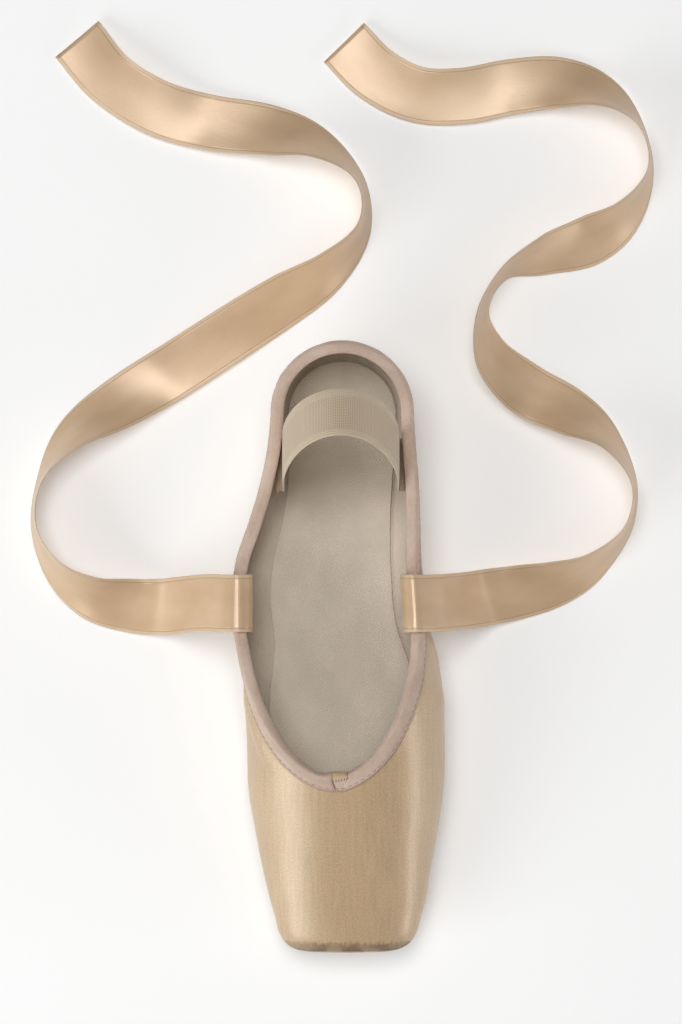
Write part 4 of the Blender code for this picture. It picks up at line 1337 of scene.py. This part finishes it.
def gap_to_lining(middles, acrosses, width):
    """How far the sewn end of a band stands off the lining, at the nearest of its corners."""
    spots = [m + a * width * part for m, a in zip(middles[:4], acrosses[:4]) for part in (-0.5, 0.0, 0.5)]
    return min(inner_surface.find_nearest(spot)[3] for spot in spots)


def pressed_down(along, gap):
    """How far a band is pressed to the lining below the binding, fading to none at its hem."""
    t = min(1.0, max(0.0, (SEWN_FREE - along) / SEWN_FADE))
    return max(0.0, gap - SEWN_REST) * t * t * (3 - 2 * t)


def seam_border(middles, acrosses, width, thickness, lift):
    """A band's sewn border, along one edge, its end and the other edge, and each place's way across."""
    count = round(SEWN_FREE / (middles[1] - middles[0]).length)
    face = acrosses[1].cross((middles[2] - middles[0]).normalized()).normalized()
    off = face * (lift - math.copysign(thickness * 0.6, lift))
    left = [middles[k] - acrosses[k] * width / 2 + off for k in range(count, -1, -1)]
    right = [middles[k] + acrosses[k] * width / 2 + off for k in range(count + 1)]
    foot = [left[-1].lerp(right[0], k / 12) for k in range(1, 12)]
    way_in = acrosses[0].normalized()
    end_way = (middles[1] - middles[0]).normalized()
    ways = [way_in] * len(left) + [end_way] * len(foot) + [way_in] * len(right)
    return left + foot + right, ways


section = Section(ELASTIC_SHARE)
clear = 2 * FIT + BINDING_THICK + ELASTIC_THICK + SEAM_SLACK
ends = {}
for side in (-1, 1):
    out, height = edge_spot(section, side)
    ends[side] = section.world(side, out - WALL - clear, height)
route = [(*(ends[-1] - Vector((0, 0, down))), 0.0) for down in (SEWN_DEPTH, SEWN_DEPTH / 2, 0.0)]
middle = (ends[-1] + ends[1]) / 2
reach = (ends[1].x - ends[-1].x) / 2
for degrees in range(165, 0, -15):
    turn = math.radians(degrees)
    lean = ELASTIC_LEAN * math.sin(turn) ** 1.2
    rise = 0.003 + ELASTIC_RISE * math.sin(turn) ** 0.9
    x = middle.x + reach * math.cos(turn) * (1 + 0.10 * math.sin(turn))
    route.append((x, middle.y + lean, middle.z + rise, math.sin(turn)))
route += [(*(ends[1] - Vector((0, 0, down))), 0.0) for down in (0.0, SEWN_DEPTH / 2, SEWN_DEPTH)]
band_line = along_line(route, BAND_STEP)
tipped = math.atan2(ELASTIC_LEAN, ELASTIC_RISE)
band_middles = [Vector(row[:3]) for row in band_line]
band_acrosses = [Vector((0, math.cos(tipped * row[3]), -math.sin(tipped * row[3]))) for row in band_line]

net = Finish("mesh_band", MESH_BAND, 0.62, more={"Sheen Weight": 0.2, "Sheen Roughness": 0.4})
across, along = net.cloth()
cords_up = net.wave(net.plus(across, along), NET_PITCH)
lattice = net.times(cords_up, net.wave(net.minus(across, along), NET_PITCH))
cord_rib = net.wave(across, 0.0008)
net_edge = ELASTIC_WIDTH / 2 - BORDER
border = net.fade(net.sum("ABSOLUTE", across), net_edge, net_edge + 0.0002)
ends_line = net.fade(net.sum("ABSOLUTE", across), net_edge - 0.0006, net_edge)
holes = net.times(net.fade(lattice, 0.05, 0.45), net.minus(1.0, border))
fuzz = net.cloud(net.scaled(net.laid, (1300, 1300, 1)), 1.0, 2.0)
colour = net.blend(holes, tinted(MESH_BAND), tinted(MESH_HOLES))
ridges = net.times(net.fade(cord_rib, -1, 1, 0.25, 0.0), border)
colour = net.blend(ridges, colour, tinted(MESH_HOLES))
colour = net.blend(net.times(fuzz, 0.15), colour, tinted(MESH_BAND, 1.2))
height = net.plus(net.times(holes, -1.0), net.times(cord_rib, net.times(border, 0.5)))
height = net.plus(height, net.times(ends_line, 0.6))
net.put(net.shader, {"Base Color": colour, "Normal": net.raised(height, 0.7, 0.00025)})
band_length = sum((b - a).length for a, b in zip(band_middles, band_middles[1:]))
band_gaps = [
    gap_to_lining(band_middles, band_acrosses, ELASTIC_WIDTH),
    gap_to_lining(band_middles[::-1], band_acrosses[::-1], ELASTIC_WIDTH),
]


def band_shape(along, part):
    return -pressed_down(along, band_gaps[0]) - pressed_down(band_length - along, band_gaps[1])


elastic = band(
    "elastic_band",
    band_middles,
    band_acrosses,
    ELASTIC_WIDTH,
    ELASTIC_THICK,
    BAND_ACROSS,
    net.made,
    band_shape,
)
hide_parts("elastic")
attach(elastic, "root")
peach = thread_of("peach_thread", PEACH_THREAD)
for name, order, gap in (("lateral", 1, band_gaps[0]), ("medial", -1, band_gaps[1])):
    ends_in = -order * pressed_down(0, gap)
    line, ways = seam_border(
        band_middles[::order], band_acrosses[::order], ELASTIC_WIDTH, ELASTIC_THICK, ends_in
    )
    sewn = stitches("elastic_stitches_" + name, line, ways, WHIP_PITCH, WHIP_LENGTH, WHIP_THREAD, peach)
    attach(sewn, "root")

# The ribbons: two lengths of double-faced satin with a close selvedge along both edges. Each is turned and
# sewn inside the collar, comes over its edge, and lies down on the floor in loose waves.
RIBBON_WIDTH = 0.022
RIBBON_THICK = 0.0005
RIBBON_SHARE = 0.575
RIBBON_STEP = 0.0018
RIBBON_ACROSS = 15
RIBBON_BOW = 0.00045
EDGE_RIPPLE = 0.00035
SOFT_TURN = 0.07
MEDIAL_ROUTE = (
    # out, along, height, tilt
    (0.30, 0.00, 0.860, 0),
    (0.55, 0.01, 0.600, 0),
    (0.85, 0.03, 0.330, 0),
    (1.20, 0.08, 0.120, 6),
    (1.70, 0.16, 0.020, 16),
    (2.35, 0.32, 0.000, 34),
    (3.05, 0.66, 0.000, 60),
    (3.62, 1.30, 0.000, 78),
    (3.72, 2.10, 0.000, 80),
    (3.30, 2.85, 0.000, 62),
    (2.60, 3.35, 0.010, 28),
    (1.85, 3.75, 0.010, 18),
    (1.22, 4.34, 0.000, 46),
    (1.05, 5.12, 0.000, 76),
    (1.45, 5.82, 0.000, 78),
    (2.20, 6.16, 0.000, 48),
    (3.00, 6.42, 0.000, 30),
    (3.66, 6.92, 0.000, 58),
    (4.02, 7.64, 0.000, 80),
    (3.84, 8.42, 0.000, 78),
    (3.22, 8.98, 0.000, 50),
    (2.42, 9.20, 0.010, 18),
    (1.58, 9.14, 0.035, 4),
    (0.74, 8.98, 0.035, -6),
    (-0.08, 9.00, 0.010, -12),
    (-0.82, 9.36, 0.000, -8),
    (-1.40, 9.94, 0.000, 0),
)
LATERAL_ROUTE = (
    # out, along, height, tilt
    (0.30, 0.00, 0.860, 0),
    (0.55, -0.02, 0.600, 0),
    (0.85, -0.06, 0.330, 0),
    (1.20, -0.10, 0.120, -5),
    (1.75, -0.08, 0.020, -16),
    (2.45, 0.08, 0.000, -38),
    (3.08, 0.55, 0.000, -64),
    (3.44, 1.32, 0.000, -80),
    (3.32, 2.20, 0.000, -78),
    (2.74, 2.98, 0.000, -50),
    (1.88, 3.55, 0.020, -18),
    (0.95, 4.12, 0.050, 4),
    (0.02, 4.72, 0.050, 12),
    (-0.92, 5.32, 0.020, 24),
    (-1.78, 5.88, 0.000, 50),
    (-2.38, 6.62, 0.000, 76),
    (-2.30, 7.46, 0.000, 78),
    (-1.62, 8.06, 0.000, 54),
    (-0.68, 8.36, 0.000, 20),
    (0.32, 8.50, 0.030, 4),
    (1.28, 8.76, 0.040, -8),
    (2.12, 9.28, 0.010, -14),
    (2.72, 10.00, 0.000, -4),
)
RIBBON = (0.740, 0.530, 0.345)
RIBBON_SHADE = (0.630, 0.430, 0.262)
SELVEDGE = (0.740, 0.560, 0.390)

silk = Finish(
    "ribbon_satin",
    RIBBON,
    0.38,
    more={
        "Metallic": 0.10,
        "Specular IOR Level": 0.65,
        "Specular Tint": (1.0, 0.97, 0.92, 1),
        "Anisotropic": 0.5,
        "Sheen Weight": 0.1,
        "Sheen Roughness": 0.35,
    },
)
across, along = silk.cloth()
floats = silk.cloud(silk.scaled(silk.laid, (2600, 260, 1)), 1.0, 2.0, 0.6)
weft = silk.wave(along, 0.0007)
broad = silk.cloud(silk.scaled(silk.laid, (60, 22, 1)), 1.0, 3.0, 0.5)
colour = silk.blend(silk.fade(broad, 0.3, 0.7), tinted(RIBBON_SHADE), tinted(RIBBON))
colour = silk.blend(silk.times(floats, 0.2), colour, tinted(RIBBON, 1.25))
from_edge = silk.minus(RIBBON_WIDTH / 2, silk.sum("ABSOLUTE", across))
selvedge = silk.fade(from_edge, 0.0013, 0.0009)
groove = silk.times(silk.fade(from_edge, 0.0011, 0.0014), silk.fade(from_edge, 0.0018, 0.0014))
colour = silk.blend(silk.times(selvedge, 0.6), colour, tinted(SELVEDGE))
colour = silk.blend(silk.times(groove, 0.5), colour, tinted(RIBBON_SHADE, 0.6))
height = silk.plus(floats, silk.times(weft, 0.12))
height = silk.plus(height, silk.times(groove, -1.5))
rough = silk.plus(0.34, silk.times(selvedge, 0.2))
tangent = silk.node("Tangent", {}, direction_type="UV_MAP", uv_map="cloth").outputs[0]
bump = silk.raised(height, 0.35, 0.00014)
silk.put(silk.shader, {"Base Color": colour, "Normal": bump, "Roughness": rough, "Tangent": tangent})


def ribbon_way(side, route):
    """The ribbon's middle line and the direction across it at each of its places."""
    section = Section(RIBBON_SHARE)
    edge_out, edge_height = edge_spot(section, side)
    edge = section.world(side, edge_out, edge_height)
    aside = RIBBON_WIDTH / 2 / LENGTH
    beside = [Section(RIBBON_SHARE + k * aside) for k in (-1, 1)]
    fore, aft = [s.world(side, *edge_spot(s, side)) for s in beside]
    edge_way = (aft - fore).normalized()
    chord = (fore + aft) / 2
    bowed = abs(chord.x - edge.x)
    clear = 2 * FIT + BINDING_THICK + RIBBON_THICK + SEAM_SLACK
    places = []
    for down in (SEWN_DEPTH, SEWN_DEPTH / 2, 0.0):
        height = edge_height - down
        out = min(section.wall_at(side, height), edge_out + down * 0.1)
        place = section.world(side, out - WALL - clear, height)
        places.append((place.x - side * bowed, place.y, place.z, 0.0, 1.0))
    top = max(edge.z, chord.z)
    places.append((edge.x - side * WALL * 0.5, edge.y, top + clear + 0.0004, 0.0, 1.0))
    places.append((edge.x + side * (clear * 1.2 + bowed), edge.y, top + clear * 0.1, 0.0, 1.0))
    for out, along, height, tilt in route:
        x = edge.x + side * (clear + out * RIBBON_WIDTH)
        y = edge.y + along * RIBBON_WIDTH
        held = max(0.0, min(1.0, (height - 0.1) / 0.3))
        places.append((x, y, height * edge.z, math.radians(tilt), held))
    line = along_line(places, RIBBON_STEP)
    rests = RIBBON_WIDTH / 2 * np.sqrt(np.sin(line[:, 3]) ** 2 + SOFT_TURN**2) + RIBBON_THICK / 2 + FIT
    first = int(np.argmax(line[:, 4] < 0.95))
    rests[:first] *= np.linspace(0, 1, first) ** 4
    middles = [Vector((row[0], row[1], max(0.0, row[2]) + rest)) for row, rest in zip(line, rests)]
    acrosses = []
    for k, (row, way) in enumerate(zip(line, ways_of(middles))):
        flat = Vector((0, 0, 1)).cross(way)
        if flat.length < 0.2:
            flat = edge_way * side
        flat = flat.normalized().lerp(edge_way * side, row[4])
        flat = (flat - way * flat.dot(way)).normalized()
        acrosses.append(flat * math.cos(row[3]) + way.cross(flat) * math.sin(row[3]))
    return middles, acrosses


for name, node, side, route in (
    ("ribbon_medial", "ribbon_right", 1, MEDIAL_ROUTE),
    ("ribbon_lateral", "ribbon_left", -1, LATERAL_ROUTE),
):
    middles, acrosses = ribbon_way(side, route)
    gap = gap_to_lining(middles, acrosses, RIBBON_WIDTH)

    def shaped(along, part):
        """Pressed to the lining where it is sewn; bowed across and rippled once it has left the collar."""
        loose = min(1.0, max(0.0, (along - 0.03) / 0.02))
        ripple = EDGE_RIPPLE * noise.noise(Vector((along / 0.021, part * 1.4, side * 5.0))) * abs(2 * part)
        bow = RIBBON_BOW * (0.5 - (2 * part) ** 2)
        return pressed_down(along, gap) + loose * (bow + ripple)

    satin_ribbon = band(
        name, middles, acrosses, RIBBON_WIDTH, RIBBON_THICK, RIBBON_ACROSS, silk.made, shaped
    )
    for vertex in satin_ribbon.data.vertices:
        vertex.co.z = max(0.00005, vertex.co.z)
    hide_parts(node)
    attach(satin_ribbon, "root")
    line, ways = seam_border(middles, acrosses, RIBBON_WIDTH, RIBBON_THICK, pressed_down(0, gap))
    sewn = stitches(name + "_stitches", line, ways, WHIP_PITCH, WHIP_LENGTH, WHIP_THREAD, peach)
    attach(sewn, "root")
